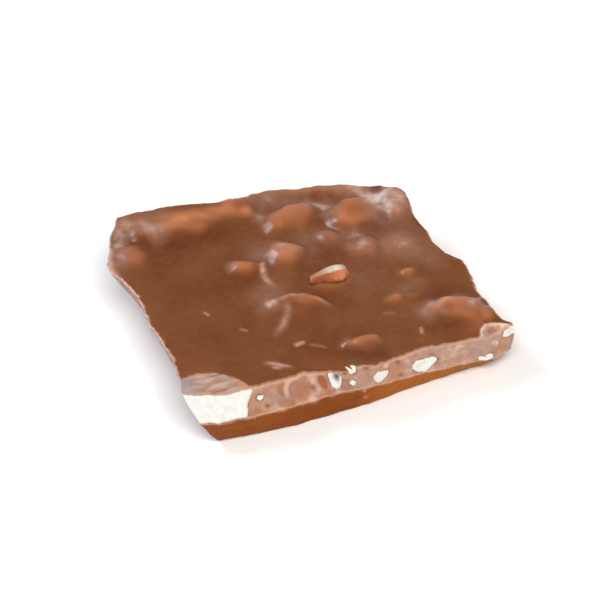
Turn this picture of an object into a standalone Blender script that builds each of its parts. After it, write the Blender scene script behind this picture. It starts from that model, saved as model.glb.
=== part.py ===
"""Pecan bark: one broken slab of milk chocolate with pieces of nut set in it.

The slab lies flat. +X runs along its long broken front side, +Y to the back and +Z up.
The origin is at the middle of the bottom. Lengths in the tables are millimetres.
"""
import math
from collections import namedtuple

import bmesh
import bpy
import numpy as np
from mathutils import Euler, Matrix, Vector, noise

MM = 0.001

# Driving dimensions
TOP_HEIGHT = 11.2      # level of the top at the middle
TOP_FALL = 0.032       # drop of the top for each millimetre along +X
TOP_WAVE = 0.3         # height of the slow waves in the poured top
WAVE_LENGTH = 19.0     # spacing of those waves
CRAG_DEPTH = 0.45      # roughness of the broken sides
CRAG_SIZE = 5.0        # spacing of that roughness
FINE_CRAG = 2.3        # how many times finer its second layer is, at half the depth
NUT_GAP = 0.3          # clearance between a nut piece and its socket
NUT_ROUGHNESS = 0.16   # how far a nut piece departs from an even oval
NUT_BUMPS = 1.4        # how many bumps it has across

# Where each kind of unevenness is read from the noise
WAVE_SEED = 1.7
WOBBLE_SEED = 4.0
DRIFT_SEEDS = (14.0, 15.0)
SIDE_SEED = Vector((0, 0, 11))
FINE_CRAG_SEED = Vector((7, 3, 5))
NUT_SIDE_SEEDS = (3.7, 1.9, 2.4)
CORNER_NUT_SEED = 20
TOP_NUT_SEED = 21

# Fineness of the mesh
FACE_SIZE = 1.8        # side of the faces on the top
UPPER_ROWS = 3         # rows of faces on the upper band of the broken sides
LOWER_ROWS = 2         # rows on the lower band

# Broken outline of the top: front, right, back and left side, anticlockwise
RIM = (
    ((-39.9, -29.4), (-33.2, -31.7), (-24.4, -33.4), (-15.9, -33.1), (-11.2, -31.7), (-2.2, -35.2),
     (2.1, -34.1), (5.0, -35.3), (18.2, -32.7), (32.6, -33.2), (37.9, -31.8), (41.1, -32.2)),
    ((41.1, -32.2), (41.7, -30.4), (39.2, -26.6), (39.0, -16.4), (40.9, -4.3), (37.9, 0.3),
     (36.7, 5.6), (37.2, 11.3), (35.7, 17.2), (36.9, 23.5)),
    ((36.9, 23.5), (34.6, 28.2), (33.6, 31.6), (26.0, 32.4), (21.6, 34.8), (5.5, 36.5),
     (-4.4, 34.0), (-15.8, 36.6), (-28.0, 37.4), (-33.7, 36.5)),
    ((-33.7, 36.5), (-37.5, 31.0), (-41.4, 20.7), (-41.7, 17.4), (-39.8, 14.7), (-38.1, 7.0),
     (-38.9, -2.3), (-38.4, -13.0), (-38.0, -18.6), (-39.9, -29.4)),
)

# The ridge where the upper and the lower band of the broken side meet, with its height
RIDGE = (
    ((-37.5, -35.1, 6.2), (-33.6, -37.0, 6.3), (-19.4, -36.5, 6.0), (-4.5, -34.9, 5.3),
     (3.6, -35.2, 5.0), (21.2, -33.8, 4.0), (36.0, -33.7, 3.0), (40.9, -32.1, 3.4)),
    ((40.9, -32.1, 3.4), (39.6, -18.0, 4.5), (40.6, -5.0, 5.2), (37.5, 6.0, 4.6),
     (36.2, 24.0, 5.8)),
    ((36.2, 24.0, 5.8), (32.8, 30.2, 6.2), (22.0, 34.4, 5.6), (5.0, 36.4, 5.2),
     (-15.0, 36.2, 6.5), (-32.8, 36.0, 7.0)),
    ((-32.8, 36.0, 7.0), (-37.8, 19.5, 7.2), (-36.4, 6.0, 7.0), (-36.6, -12.0, 7.0),
     (-36.0, -24.0, 6.8), (-37.5, -35.1, 6.2)),
)

# Outline of the flat bottom, drawn in from the rim where the broken side leans under
FOOT = (
    ((-33.1, -35.3), (-24.1, -36.3), (-14.7, -36.6), (3.9, -35.3), (21.9, -32.5), (37.4, -30.8)),
    ((37.4, -30.8), (37.8, -17.0), (38.8, -5.5), (35.4, 6.0), (34.6, 21.8)),
    ((34.6, 21.8), (31.0, 28.6), (21.0, 32.6), (5.0, 34.6), (-15.0, 34.2), (-30.6, 33.6)),
    ((-30.6, 33.6), (-34.0, 19.0), (-32.6, 5.0), (-33.0, -12.0), (-32.2, -24.0), (-33.1, -35.3)),
)

# Lumps of the top over covered nuts: the place of the summit, how far it runs to each side
# from there, its turn in degrees, its height, the share of the reach that is level, and the
# rise towards its right end and towards its back
Lump = namedtuple("Lump", "x y left right front back turn height level rise tip")
LUMPS = (
    Lump(-18.0, 34.0, 21.0, 19.0, 8.6, 8.0, -2, 1.8, 0.66, 0.0, 0.0),
    Lump(-34.4, 22.6, 5.6, 5.8, 5.0, 5.0, -10, 1.2, 0.25, 0.0, 0.0),
    Lump(8.0, 25.2, 9.2, 7.6, 6.8, 5.6, 2, 2.3, 0.35, 0.1, 0.2),
    Lump(2.9, 23.0, 4.6, 4.6, 4.4, 4.0, 0, 1.9, 0.25, 0.0, 0.0),
    Lump(22.8, 21.2, 8.2, 8.8, 7.4, 7.0, -4, 2.3, 0.45, 0.0, 0.2),
    Lump(17.8, 19.8, 4.0, 5.0, 4.2, 4.0, 0, 1.8, 0.25, 0.0, 0.0),
    Lump(33.9, 22.2, 4.9, 5.2, 7.6, 6.4, 0, 2.8, 0.45, 0.2, 0.5),
    Lump(13.4, 14.6, 5.0, 4.4, 4.4, 3.8, -8, 1.2, 0.25, 0.0, 0.2),
    Lump(20.0, 8.9, 5.4, 4.2, 4.4, 4.0, -8, 0.8, 0.45, 0.1, 0.0),
    Lump(28.2, 6.6, 6.2, 5.8, 4.0, 4.4, -35, 0.8, 0.40, 0.0, 0.0),
    Lump(0.6, 11.6, 5.8, 5.4, 5.0, 6.6, 5, 2.2, 0.40, 0.0, -0.5),
    Lump(-1.0, 7.4, 5.6, 5.4, 9.0, 5.0, 0, 1.0, 0.10, 0.0, 0.2),
    Lump(-11.8, 9.9, 3.6, 5.4, 3.6, 3.8, -12, 1.5, 0.25, 0.0, 0.0),
    Lump(-19.5, 12.0, 6.0, 6.5, 4.5, 4.5, -10, 0.25, 0.20, 0.0, 0.0),
    Lump(6.4, -2.2, 7.0, 6.6, 4.8, 4.4, 0, 1.0, 0.40, 0.1, 0.0),
    Lump(-2.0, -10.4, 5.6, 5.8, 6.4, 4.6, -8, 0.6, 0.10, 0.0, 0.3),
    Lump(-8.8, -6.4, 2.0, 2.2, 2.2, 2.0, 0, 0.7, 0.20, 0.0, 0.0),
    Lump(6.0, -27.0, 4.2, 5.2, 3.3, 3.2, -8, 1.7, 0.35, 0.0, 0.0),
    Lump(2.5, -25.9, 2.4, 2.6, 1.8, 1.8, 0, 1.1, 0.20, 0.0, 0.0),
    Lump(26.2, -4.4, 2.8, 2.6, 2.1, 2.0, 0, 1.0, 0.20, 0.0, 0.0),
    Lump(19.2, -12.9, 3.8, 3.2, 2.1, 2.1, 8, 0.9, 0.20, 0.2, 0.0),
    Lump(24.4, -13.4, 2.4, 2.4, 1.8, 1.9, 10, 0.5, 0.20, 0.0, 0.0),
    Lump(32.2, -22.2, 7.8, 7.0, 8.6, 5.4, 4, 2.2, 0.30, 0.0, 0.1),
    Lump(37.0, -26.0, 3.2, 3.4, 3.0, 3.2, 0, 1.5, 0.25, 0.0, 0.0),
    Lump(-32.4, -25.0, 11.0, 9.5, 7.0, 15.0, -10, 0.7, 0.10, 0.0, 0.0),
)
DIPS = (
    Lump(-35.5, -36.0, 11.0, 8.0, 8.5, 8.5, -8, -1.8, 0.1, 0.0, 0.0),
    Lump(-11.0, -35.0, 6.0, 6.0, 5.0, 5.0, 0, -0.8, 0.2, 0.0, 0.0),
)
LUMP_SPREAD = 1.3      # reach of the foot of a lump, as a share of its size
LUMP_FLARE = 1.3       # how gently the foot runs out into the level top
BLEND_POWER = 3        # how softly neighbouring lumps run into each other
LUMP_WOBBLE = 0.14     # unevenness of their outlines
WOBBLE_SIZE = 3.6      # spacing of that unevenness
LUMP_DRIFT = 1.3       # how far the outlines wander
DRIFT_SIZE = 6.5       # over what distance they wander
NUT_SIDES = 5          # flat sides of a covered nut piece
NUT_SIDES_SHOW = 0.6   # how strongly they show through the coat, up to 1
NUT_SIDE_AWAY = 0.92   # how far they lie from the summit, as a share of the lump's size
NUT_SIDE_UNEVEN = 0.3  # how unevenly they are turned
NUT_SIDE_SHARP = 5     # how sharply they meet
WIDEST_NUT = 10.0      # longer lumps are swellings of the coat, which show no sides

# Folds where the coat hangs over a nut's edge: the line, half width and height
Fold = namedtuple("Fold", "line width height")
FOLDS = (
    Fold(((-34.0, 33.2), (-24.0, 34.0), (-13.0, 33.0), (-4.5, 31.4)), 3.2, 0.2),
    Fold(((-5.0, 35.0), (6.0, 35.4), (17.0, 33.8), (28.0, 30.8)), 2.0, 1.4),
    Fold(((-7.6, -4.6), (-5.8, -4.4), (-1.9, -5.6), (1.8, -9.0), (3.4, -11.4)), 1.5, 0.85),
    Fold(((24.4, -20.0), (28.2, -18.7), (32.0, -17.6)), 1.6, 0.5),
)

# The chipped front right corner: a shallow hollow with a raised lip
SCOOP_MIDDLE = (36.9, -34.2)
SCOOP_RADIUS = 4.4
SCOOP_LIP = 0.35       # height of the lip
LIP_WIDTH = 0.5        # half width of the lip
SCOOP_DEPTH = 0.7
SCOOP_SLOPE = (1.6, 0.2)   # how far inside the lip the hollow's wall starts and ends

# Nut pieces broken through with the sides: the place round the outline (0 to 1 along the
# front, 1 to 2 the right, 2 to 3 the back, 3 to 4 the left), the share of the way down the
# upper band, the half sizes along, into and up the side, the lean in degrees and how deep
# the middle lies
SideNut = namedtuple("SideNut", "name place down along depth up lean inset")
SIDE_NUTS = (
    SideNut("nut_front_1", 0.4365, 0.42, 1.7, 2.0, 2.8, 0, 0.3),
    SideNut("nut_front_2", 0.5735, 0.62, 2.8, 2.0, 1.5, -24, 0.3),
    SideNut("nut_front_3", 0.7150, 0.68, 4.0, 2.6, 1.9, -14, 0.3),
    SideNut("nut_front_4", 0.9095, 0.87, 2.4, 1.9, 1.0, -12, 0.3),
    SideNut("nut_front_5", 0.9910, 0.16, 1.8, 2.2, 1.4, -10, 0.5),
    SideNut("nut_right_1", 1.300, 0.66, 3.4, 2.6, 2.0, 15, 0.2),
    SideNut("nut_right_2", 1.780, 0.70, 2.6, 2.2, 1.8, -10, 0.2),
    SideNut("nut_back_1", 2.330, 0.64, 4.2, 3.0, 2.3, 10, 0.2),
    SideNut("nut_back_2", 2.640, 0.66, 2.8, 2.2, 1.7, -20, 0.2),
    SideNut("nut_left_1", 3.150, 0.60, 3.5, 2.6, 1.8, 8, 0.2),
    SideNut("nut_left_2", 3.500, 0.66, 2.8, 2.2, 1.6, -12, 0.2),
)
CORNER_NUT_MIDDLE = (-33.2, -33.4, 10.4)
CORNER_NUT_HALF_SIZES = (10.2, 7.0, 4.5)
CORNER_NUT_TURN = (0, 0, -13)
TOP_NUT_MIDDLE = (6.4, -1.6, 12.3)
TOP_NUT_HALF_SIZES = (4.9, 2.5, 1.7)
TOP_NUT_TURN = (8, -9, -5)
SMALL_NUT_FINENESS = 2
LARGE_NUT_FINENESS = 3
SLAB_SHARP_ANGLE = 35
NUT_SHARP_ANGLE = 40

OUTWARD = (Vector((0, -1)), Vector((1, 0)), Vector((0, 1)), Vector((-1, 0)))
CORNER_BLEND = 0.08    # share of a side over which its direction turns into the next one's
SIDE_END = 0.999999    # the end of a side, just short of where the next one starts

# Colours as they look in daylight, 0 to 255
MILK_CHOCOLATE = (125, 76, 48)
NUT_FLESH = (238, 232, 218)
CHOCOLATE_ROUGHNESS = 0.38
NUT_ROUGH_FINISH = 0.6


def clear_scene():
    """Remove what the file starts with."""
    for item in list(bpy.data.objects):
        bpy.data.objects.remove(item, do_unlink=True)


def new_collection(name):
    collection = bpy.data.collections.new(name)
    bpy.context.scene.collection.children.link(collection)
    return collection


def linear(level):
    """Turn a displayed colour level of 0 to 255 into a linear one."""
    share = level / 255
    return share / 12.92 if share <= 0.04045 else ((share + 0.055) / 1.055) ** 2.4


def new_material(name, colour, roughness):
    material = bpy.data.materials.new(name)
    material.use_nodes = True
    shader = material.node_tree.nodes["Principled BSDF"]
    shader.inputs["Base Color"].default_value = (*[linear(level) for level in colour], 1.0)
    shader.inputs["Roughness"].default_value = roughness
    shader.inputs["Metallic"].default_value = 0.0
    return material


def point_along(line, share):
    """The point at a share of a broken line's length."""
    points = np.array(line, float)
    steps = np.linalg.norm(np.diff(points[:, :2], axis=0), axis=1)
    travelled = np.concatenate(([0.0], np.cumsum(steps))) / steps.sum()
    return Vector([np.interp(share, travelled, points[:, axis]) for axis in range(points.shape[1])])


def point_round(outline, place):
    """The point of a four-sided outline at a place from 0 to 4."""
    side = int(place) % 4
    return point_along(outline[side], place % 1.0)


def outward_at(place):
    """The direction out of the slab at a place, turning smoothly at the corners."""
    side = int(place) % 4
    share = place % 1.0
    into_next = max(0.0, (share - 1 + CORNER_BLEND) / CORNER_BLEND) / 2
    from_last = max(0.0, (CORNER_BLEND - share) / CORNER_BLEND) / 2
    direction = OUTWARD[side] * (1 - into_next - from_last)
    direction += OUTWARD[(side + 1) % 4] * into_next + OUTWARD[side - 1] * from_last
    return direction.normalized()


def crag(point):
    """How far the broken side stands out at a point."""
    coarse = noise.noise(point / CRAG_SIZE)
    fine = noise.noise(point / CRAG_SIZE * FINE_CRAG + FINE_CRAG_SEED)
    return CRAG_DEPTH * (coarse + 0.5 * fine)


def noise_at(x, y, size, seed):
    """Smooth noise over the plan, with features of a size."""
    return noise.noise(Vector((x / size + seed, y / size + 2 * seed, 3 * seed)))


def smoothstep(low, high, value):
    share = min(1.0, max(0.0, (value - low) / (high - low)))
    return share * share * (3 - 2 * share)


def nut_reach_share(along, across, lump):
    """Share of the way from a lump's summit to the flat sides of the nut in it."""
    for_x, for_y, for_side = NUT_SIDE_SEEDS
    total = 0.0
    for side in range(NUT_SIDES):
        uneven = NUT_SIDE_UNEVEN * math.sin(for_x * lump.x + for_y * lump.y + for_side * side)
        angle = math.pi + math.tau * (side + (uneven if side else 0)) / NUT_SIDES
        facing = (along * math.cos(angle) + across * math.sin(angle)) / NUT_SIDE_AWAY
        total += max(0.0, facing) ** NUT_SIDE_SHARP
    return total ** (1 / NUT_SIDE_SHARP)


def lump_height(x, y, lump, wobble):
    """Height of one lump over the level top."""
    turn = math.radians(lump.turn)
    dx, dy = x - lump.x, y - lump.y
    along = dx * math.cos(turn) + dy * math.sin(turn)
    across = dy * math.cos(turn) - dx * math.sin(turn)
    along /= lump.right if along > 0 else lump.left
    across /= lump.back if across > 0 else lump.front
    height = lump.height + lump.rise * along + lump.tip * across
    reach = math.hypot(along, across)
    if lump.left < WIDEST_NUT:
        reach += NUT_SIDES_SHOW * (nut_reach_share(along, across, lump) - reach)
    return height * (1 - smoothstep(lump.level, LUMP_SPREAD, reach + wobble)) ** LUMP_FLARE


def line_distance(x, y, line):
    """Distance in the plan from a point to a broken line."""
    nearest = math.inf
    for (ax, ay), (bx, by) in zip(line, line[1:]):
        length_squared = (bx - ax) ** 2 + (by - ay) ** 2
        share = ((x - ax) * (bx - ax) + (y - ay) * (by - ay)) / length_squared
        share = min(1.0, max(0.0, share))
        nearest = min(nearest, math.hypot(x - ax - share * (bx - ax), y - ay - share * (by - ay)))
    return nearest


def fold_height(x, y, fold):
    return fold.height * math.exp(-(line_distance(x, y, fold.line) / fold.width) ** 2)


def scoop(x, y):
    """The shallow hollow where the front right corner chipped off."""
    away = math.hypot(x - SCOOP_MIDDLE[0], y - SCOOP_MIDDLE[1]) - SCOOP_RADIUS
    hollow = 1 - smoothstep(-SCOOP_SLOPE[0], -SCOOP_SLOPE[1], away)
    return SCOOP_LIP * math.exp(-(away / LIP_WIDTH) ** 2) - SCOOP_DEPTH * hollow


def top_height(x, y):
    """Height of the poured top over the nuts that it covers."""
    wave = noise.noise(Vector((x / WAVE_LENGTH, y / WAVE_LENGTH, WAVE_SEED)))
    level = TOP_HEIGHT - TOP_FALL * x + TOP_WAVE * wave + scoop(x, y)
    wobble = LUMP_WOBBLE * noise_at(x, y, WOBBLE_SIZE, WOBBLE_SEED)
    drift_x = LUMP_DRIFT * noise_at(x, y, DRIFT_SIZE, DRIFT_SEEDS[0])
    drift_y = LUMP_DRIFT * noise_at(x, y, DRIFT_SIZE, DRIFT_SEEDS[1])
    x, y = x + drift_x, y + drift_y
    mounds = sum(max(0.0, lump_height(x, y, lump, wobble)) ** BLEND_POWER for lump in LUMPS)
    dips = sum(lump_height(x, y, dip, 0.0) for dip in DIPS)
    folds = sum(fold_height(x, y, fold) for fold in FOLDS)
    return level + mounds ** (1 / BLEND_POWER) + dips + folds


def rough(point, place):
    """Move a point of the side in or out by the roughness of the break."""
    out = outward_at(place) * crag(point)
    return Vector((point.x + out.x, point.y + out.y, point.z))


def rim_point(place):
    """A point of the broken edge round the top."""
    x, y = point_round(RIM, place)
    edge = rough(Vector((x, y, TOP_HEIGHT)), place)
    return Vector((edge.x, edge.y, top_height(edge.x, edge.y)))


def ridge_point(place):
    return rough(point_round(RIDGE, place), place)


def foot_point(place):
    """A point of the bottom's edge, with half the roughness of the side above."""
    x, y = point_round(FOOT, place)
    out = outward_at(place) * crag(Vector((x, y, 0))) / 2
    return Vector((x + out.x, y + out.y, 0))


def side_rows():
    """Each row of the side below the rim: the two lines it lies between, and the share."""
    upper = [(rim_point, ridge_point, (row + 1) / UPPER_ROWS) for row in range(UPPER_ROWS)]
    lower = [(ridge_point, foot_point, (row + 1) / LOWER_ROWS) for row in range(LOWER_ROWS)]
    return upper + lower


def side_row_point(place, above, below, share):
    """A point on a row, roughened between the two lines that bound it."""
    start, end = above(place), below(place)
    point = start.lerp(end, share)
    middle = 4 * share * (1 - share)
    out = outward_at(place) * crag(point + SIDE_SEED) * middle
    return Vector((point.x + out.x, point.y + out.y, point.z))


def side_point(place, down):
    """A point on the upper band at a share of the way down, for setting a nut in it."""
    return rim_point(place).lerp(ridge_point(place), down)


def patch_point(u, v):
    """A point of the top between its four broken edges."""
    front, back = rim_point(min(u, SIDE_END)), rim_point(3 - u)
    right, left = rim_point(1 + min(v, SIDE_END)), rim_point(4 - v)
    corners = ((1 - u) * (1 - v) * rim_point(0) + u * (1 - v) * rim_point(1)
               + u * v * rim_point(2) + (1 - u) * v * rim_point(3))
    point = front * (1 - v) + back * v + left * (1 - u) + right * u - corners
    return Vector((point.x, point.y, top_height(point.x, point.y)))


def place_of(u, v):
    """The place round the outline of an edge point of the unit square, or -1 inside."""
    nearly_zero = 1e-5
    if v < nearly_zero:
        return u % 1.0 if u < 1 - nearly_zero else 1.0
    if u > 1 - nearly_zero:
        return 1 + v
    if v > 1 - nearly_zero:
        return 3 - u
    if u < nearly_zero:
        return 4 - v
    return -1.0


def build_slab_mesh():
    """A grid laid over the top, extruded down the broken sides and closed below."""
    columns = round((RIM[0][-1][0] - RIM[0][0][0]) / FACE_SIZE)
    rows = round((RIM[2][-1][1] - RIM[0][0][1]) / FACE_SIZE)
    mesh = bmesh.new()
    place_layer = mesh.verts.layers.float.new("place")
    bmesh.ops.create_grid(mesh, x_segments=columns, y_segments=rows, size=0.5)
    for vertex in mesh.verts:
        u, v = vertex.co.x + 0.5, vertex.co.y + 0.5
        vertex[place_layer] = place_of(u, v)
        vertex.co = patch_point(u, v)
    edge = [each for each in mesh.edges if each.is_boundary]
    for above, below, share in side_rows():
        made = bmesh.ops.extrude_edge_only(mesh, edges=edge)["geom"]
        for vertex in (item for item in made if isinstance(item, bmesh.types.BMVert)):
            vertex.co = side_row_point(vertex[place_layer], above, below, share)
        edge = [item for item in made if isinstance(item, bmesh.types.BMEdge) and item.is_boundary]
    bmesh.ops.contextual_create(mesh, geom=edge)
    bmesh.ops.triangulate(mesh, faces=mesh.faces[:])
    bmesh.ops.recalc_face_normals(mesh, faces=mesh.faces[:])
    bmesh.ops.scale(mesh, vec=(MM, MM, MM), verts=mesh.verts[:])
    return finish_mesh(mesh, "chocolate_slab")


def build_nut_mesh(name, half_sizes, fineness, grown, seed):
    """An uneven oval, larger all round by a given amount."""
    mesh = bmesh.new()
    bmesh.ops.create_icosphere(mesh, subdivisions=fineness, radius=1.0)
    for vertex in mesh.verts:
        bump = 1 + NUT_ROUGHNESS * noise.noise(vertex.co * NUT_BUMPS + Vector((seed, 0, 0)))
        size = [half * bump + grown for half in half_sizes]
        vertex.co = Vector([axis * length * MM for axis, length in zip(vertex.co, size)])
    return finish_mesh(mesh, name)


def finish_mesh(mesh, name):
    data = bpy.data.meshes.new(name)
    mesh.to_mesh(data)
    mesh.free()
    return data


def add_object(name, data, collection, material=None, matrix=None):
    item = bpy.data.objects.new(name, data)
    collection.objects.link(item)
    if material:
        data.materials.append(material)
    if matrix:
        item.matrix_world = matrix
    return item


def make_cutter(item):
    item.hide_render = True
    item.display_type = "WIRE"
    return item


def add_boolean(item, operation, cutter):
    modifier = item.modifiers.new(cutter.name, "BOOLEAN")
    modifier.operation = operation
    modifier.solver = "EXACT"
    modifier.object = cutter


def place_matrix(middle, turn):
    """A location in millimetres with a turn in degrees."""
    rotation = Euler([math.radians(angle) for angle in turn]).to_matrix().to_4x4()
    return Matrix.Translation(Vector(middle) * MM) @ rotation


def side_nut_matrix(nut):
    """Stand a nut in the side, its X along the side and its Y out of it."""
    out = outward_at(nut.place)
    middle = side_point(nut.place, nut.down) - out.to_3d() * nut.inset
    facing = math.degrees(math.atan2(out.y, out.x)) + 90
    return place_matrix(middle, (0, 0, facing)) @ Matrix.Rotation(math.radians(nut.lean), 4, "Y")


def add_nut(slab, blank, name, half_sizes, matrix, fineness, seed, parts, cutters, material):
    """A nut piece and its socket in the slab; given a blank, it is cut flush with the slab."""
    data = build_nut_mesh(name, half_sizes, fineness, 0.0, seed)
    nut = add_object(name, data, parts, material, matrix)
    if blank:
        add_boolean(nut, "INTERSECT", blank)
    grown = build_nut_mesh("socket_" + name, half_sizes, fineness, NUT_GAP, seed)
    socket = make_cutter(add_object("socket_" + name, grown, cutters, None, matrix))
    add_boolean(slab, "DIFFERENCE", socket)
    return nut


def shade(item, angle):
    item.data.shade_smooth()
    item.data.set_sharp_from_angle(angle=math.radians(angle))


def build():
    clear_scene()
    parts = new_collection("pecan_bark")
    cutters = new_collection("cutters")
    chocolate = new_material("milk_chocolate", MILK_CHOCOLATE, CHOCOLATE_ROUGHNESS)
    flesh = new_material("nut_flesh", NUT_FLESH, NUT_ROUGH_FINISH)
    slab_mesh = build_slab_mesh()
    slab = add_object("chocolate_slab", slab_mesh, parts, chocolate)
    blank = make_cutter(add_object("slab_blank", slab_mesh.copy(), cutters))
    shade(slab, SLAB_SHARP_ANGLE)
    for seed, nut in enumerate(SIDE_NUTS):
        half_sizes = (nut.along, nut.depth, nut.up)
        add_nut(slab, blank, nut.name, half_sizes, side_nut_matrix(nut), SMALL_NUT_FINENESS,
                seed, parts, cutters, flesh)
    corner = place_matrix(CORNER_NUT_MIDDLE, CORNER_NUT_TURN)
    add_nut(slab, blank, "nut_corner", CORNER_NUT_HALF_SIZES, corner, LARGE_NUT_FINENESS,
            CORNER_NUT_SEED, parts, cutters, flesh)
    top = place_matrix(TOP_NUT_MIDDLE, TOP_NUT_TURN)
    nut_top = add_nut(slab, None, "nut_top", TOP_NUT_HALF_SIZES, top, SMALL_NUT_FINENESS,
                      TOP_NUT_SEED, parts, cutters, flesh)
    shade(nut_top, NUT_SHARP_ANGLE)


build()
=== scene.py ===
"""Looks of the pecan bark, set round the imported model.

It makes the fine slab, its nut pieces, their materials, and a plain stage with lights and a
camera. Lengths in the tables are millimetres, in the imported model's frame.
"""
import math
import random
from collections import namedtuple

import bmesh
import bpy
import numpy as np
from mathutils import Matrix, Vector, noise


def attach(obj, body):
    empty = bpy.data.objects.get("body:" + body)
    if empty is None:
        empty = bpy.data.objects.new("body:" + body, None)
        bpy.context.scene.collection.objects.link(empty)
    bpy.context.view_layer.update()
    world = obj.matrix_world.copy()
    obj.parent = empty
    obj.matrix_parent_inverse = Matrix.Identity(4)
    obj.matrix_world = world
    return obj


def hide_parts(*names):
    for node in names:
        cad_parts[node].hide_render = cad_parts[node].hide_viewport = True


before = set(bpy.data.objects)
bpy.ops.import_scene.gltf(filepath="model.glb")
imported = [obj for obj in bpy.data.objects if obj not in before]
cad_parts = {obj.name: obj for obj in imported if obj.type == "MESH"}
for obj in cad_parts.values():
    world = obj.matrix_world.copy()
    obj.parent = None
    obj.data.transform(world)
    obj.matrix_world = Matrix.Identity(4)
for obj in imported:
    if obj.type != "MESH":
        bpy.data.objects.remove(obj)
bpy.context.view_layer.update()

MM = 0.001

# The slab's form
TOP_HEIGHT = 11.2      # level of the top at the middle
TOP_FALL = 0.032       # drop of the top for each millimetre along +X
TOP_WAVE = 0.3         # height of the slow waves in the poured top
WAVE_LENGTH = 19.0     # spacing of those waves
WAVE_START = 1.7       # which slice of the noise they are, in wave lengths
CRAG_DEPTH = 0.45      # roughness of the broken sides
CRAG_SIZE = 5.0        # spacing of that roughness
CRAG_FINER = 2.3       # how much closer its finer half is spaced
CRAG_SHIFT = (7, 3, 5)  # where that half starts in the noise
BAND_SHIFT = (0, 0, 11)  # where the swelling of each band of the sides starts in it
RIM_ROUND = 0.2        # how far the rim is rounded down
RIM_ROUND_WIDTH = 0.5  # over what distance
FOOT_ROUND = 0.45      # how far the lower edge is drawn in

# Fineness of the slab, divided by COARSER
COARSER = 1
TOP_COLUMNS = 255 // COARSER
TOP_ROWS = 225 // COARSER
UPPER_ROWS = 22 // COARSER
LOWER_ROWS = 16 // COARSER
LIFT_NEAR = 2 // COARSER   # faces to each side that a place's own height is averaged over
LIFT_FAR = 14 // COARSER   # and the height of its surroundings
EDGE_CROWDING = 0.25   # how much closer the faces lie near the rim

# Layers of noise: how far apart its swells lie, how high they are, and where it starts
Layer = namedtuple("Layer", "size depth seed")
RIM_CHIPS = Layer(1.4, 0.22, 20.0)
RIDGE_COARSE, RIDGE_FINE = Layer(2.2, 0.25, 31.0), Layer(0.9, 0.12, 32.0)
TOP_SWELLS, TOP_FINE = Layer(5.5, 0.08, 9.0), Layer(1.6, 0.012, 12.0)
LUMP_WOBBLE = Layer(3.6, 0.14, 4.0)
LUMP_DRIFT_X, LUMP_DRIFT_Y = Layer(6.5, 1.3, 14.0), Layer(6.5, 1.3, 15.0)
FOLD_WANDER = Layer(2.5, 0.5, 8.0)
BREAK_GRAIN = Layer(0.7, 0.05, 3.0)
LOWER_STREAKS, LOWER_SWELLS = Layer(0.75, 0.09, 5.0), Layer(1.6, 0.05, 6.0)
RAGGED, SIDE_RAGGED = Layer(1.1, 1.0, 50.0), Layer(0.9, 1.0, 51.0)
CLOUDY = Layer(3.0, 1.0, 52.0)
NUT_COARSE, NUT_FINE, NUT_SKIN = Layer(1.5, 0.22, 60.0), Layer(0.5, 0.07, 61.0), Layer(1.0, 0.10, 62.0)
CORNER_NUT_COARSE, CORNER_NUT_MEDIUM = Layer(4.0, 0.30, 63.0), Layer(1.2, 0.10, 64.0)
CORNER_NUT_FINE, CORNER_NUT_SKIN = Layer(0.4, 0.03, 65.0), Layer(1.2, 0.05, 66.0)
TOP_NUT_SINK = Layer(1.2, 0.5, 60.0)

# The broken sides
FLAKES = ((3.0, 0.26), (1.2, 0.12))           # sizes and depths of the flakes of the break
STREAK_STRETCH = np.array((0.18, 0.18, 1.0))  # the lower band's streaks run level
SCALE_STEP = 0.02      # step along and down the side that shows how long it is there
FRONT_STEPS = 400      # steps in which a distance along X is looked up on the front's outline
FRONT_LENGTH = 80.0    # length along X over which the lower band's colour changes
SLAB_TOP, UPPER_BAND, LOWER_BAND, UNDERSIDE = range(4)  # the slab's material slots

# Broken outline of the top: front, right, back and left side, anticlockwise
RIM = (
    ((-39.9, -29.4), (-33.2, -31.7), (-24.4, -33.4), (-15.9, -33.1), (-11.2, -31.7), (-2.2, -35.2),
     (2.1, -34.1), (5.0, -35.3), (18.2, -32.7), (32.6, -33.2), (37.9, -31.8), (41.1, -32.2)),
    ((41.1, -32.2), (41.7, -30.4), (39.2, -26.6), (39.0, -16.4), (40.9, -4.3), (37.9, 0.3),
     (36.7, 5.6), (37.2, 11.3), (35.7, 17.2), (36.9, 23.5)),
    ((36.9, 23.5), (34.6, 28.2), (33.6, 31.6), (26.0, 32.4), (21.6, 34.8), (5.5, 36.5),
     (-4.4, 34.0), (-15.8, 36.6), (-28.0, 37.4), (-33.7, 36.5)),
    ((-33.7, 36.5), (-37.5, 31.0), (-41.4, 20.7), (-41.7, 17.4), (-39.8, 14.7), (-38.1, 7.0),
     (-38.9, -2.3), (-38.4, -13.0), (-38.0, -18.6), (-39.9, -29.4)),
)

# The ridge where the upper and the lower band of the broken side meet, with its height
RIDGE = (
    ((-37.5, -35.1, 6.2), (-33.6, -37.0, 6.3), (-19.4, -36.5, 6.0), (-4.5, -34.9, 5.3),
     (3.6, -35.2, 5.0), (21.2, -33.8, 4.0), (36.0, -33.7, 3.0), (40.9, -32.1, 3.4)),
    ((40.9, -32.1, 3.4), (39.6, -18.0, 4.5), (40.6, -5.0, 5.2), (37.5, 6.0, 4.6),
     (36.2, 24.0, 5.8)),
    ((36.2, 24.0, 5.8), (32.8, 30.2, 6.2), (22.0, 34.4, 5.6), (5.0, 36.4, 5.2),
     (-15.0, 36.2, 6.5), (-32.8, 36.0, 7.0)),
    ((-32.8, 36.0, 7.0), (-37.8, 19.5, 7.2), (-36.4, 6.0, 7.0), (-36.6, -12.0, 7.0),
     (-36.0, -24.0, 6.8), (-37.5, -35.1, 6.2)),
)

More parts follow.
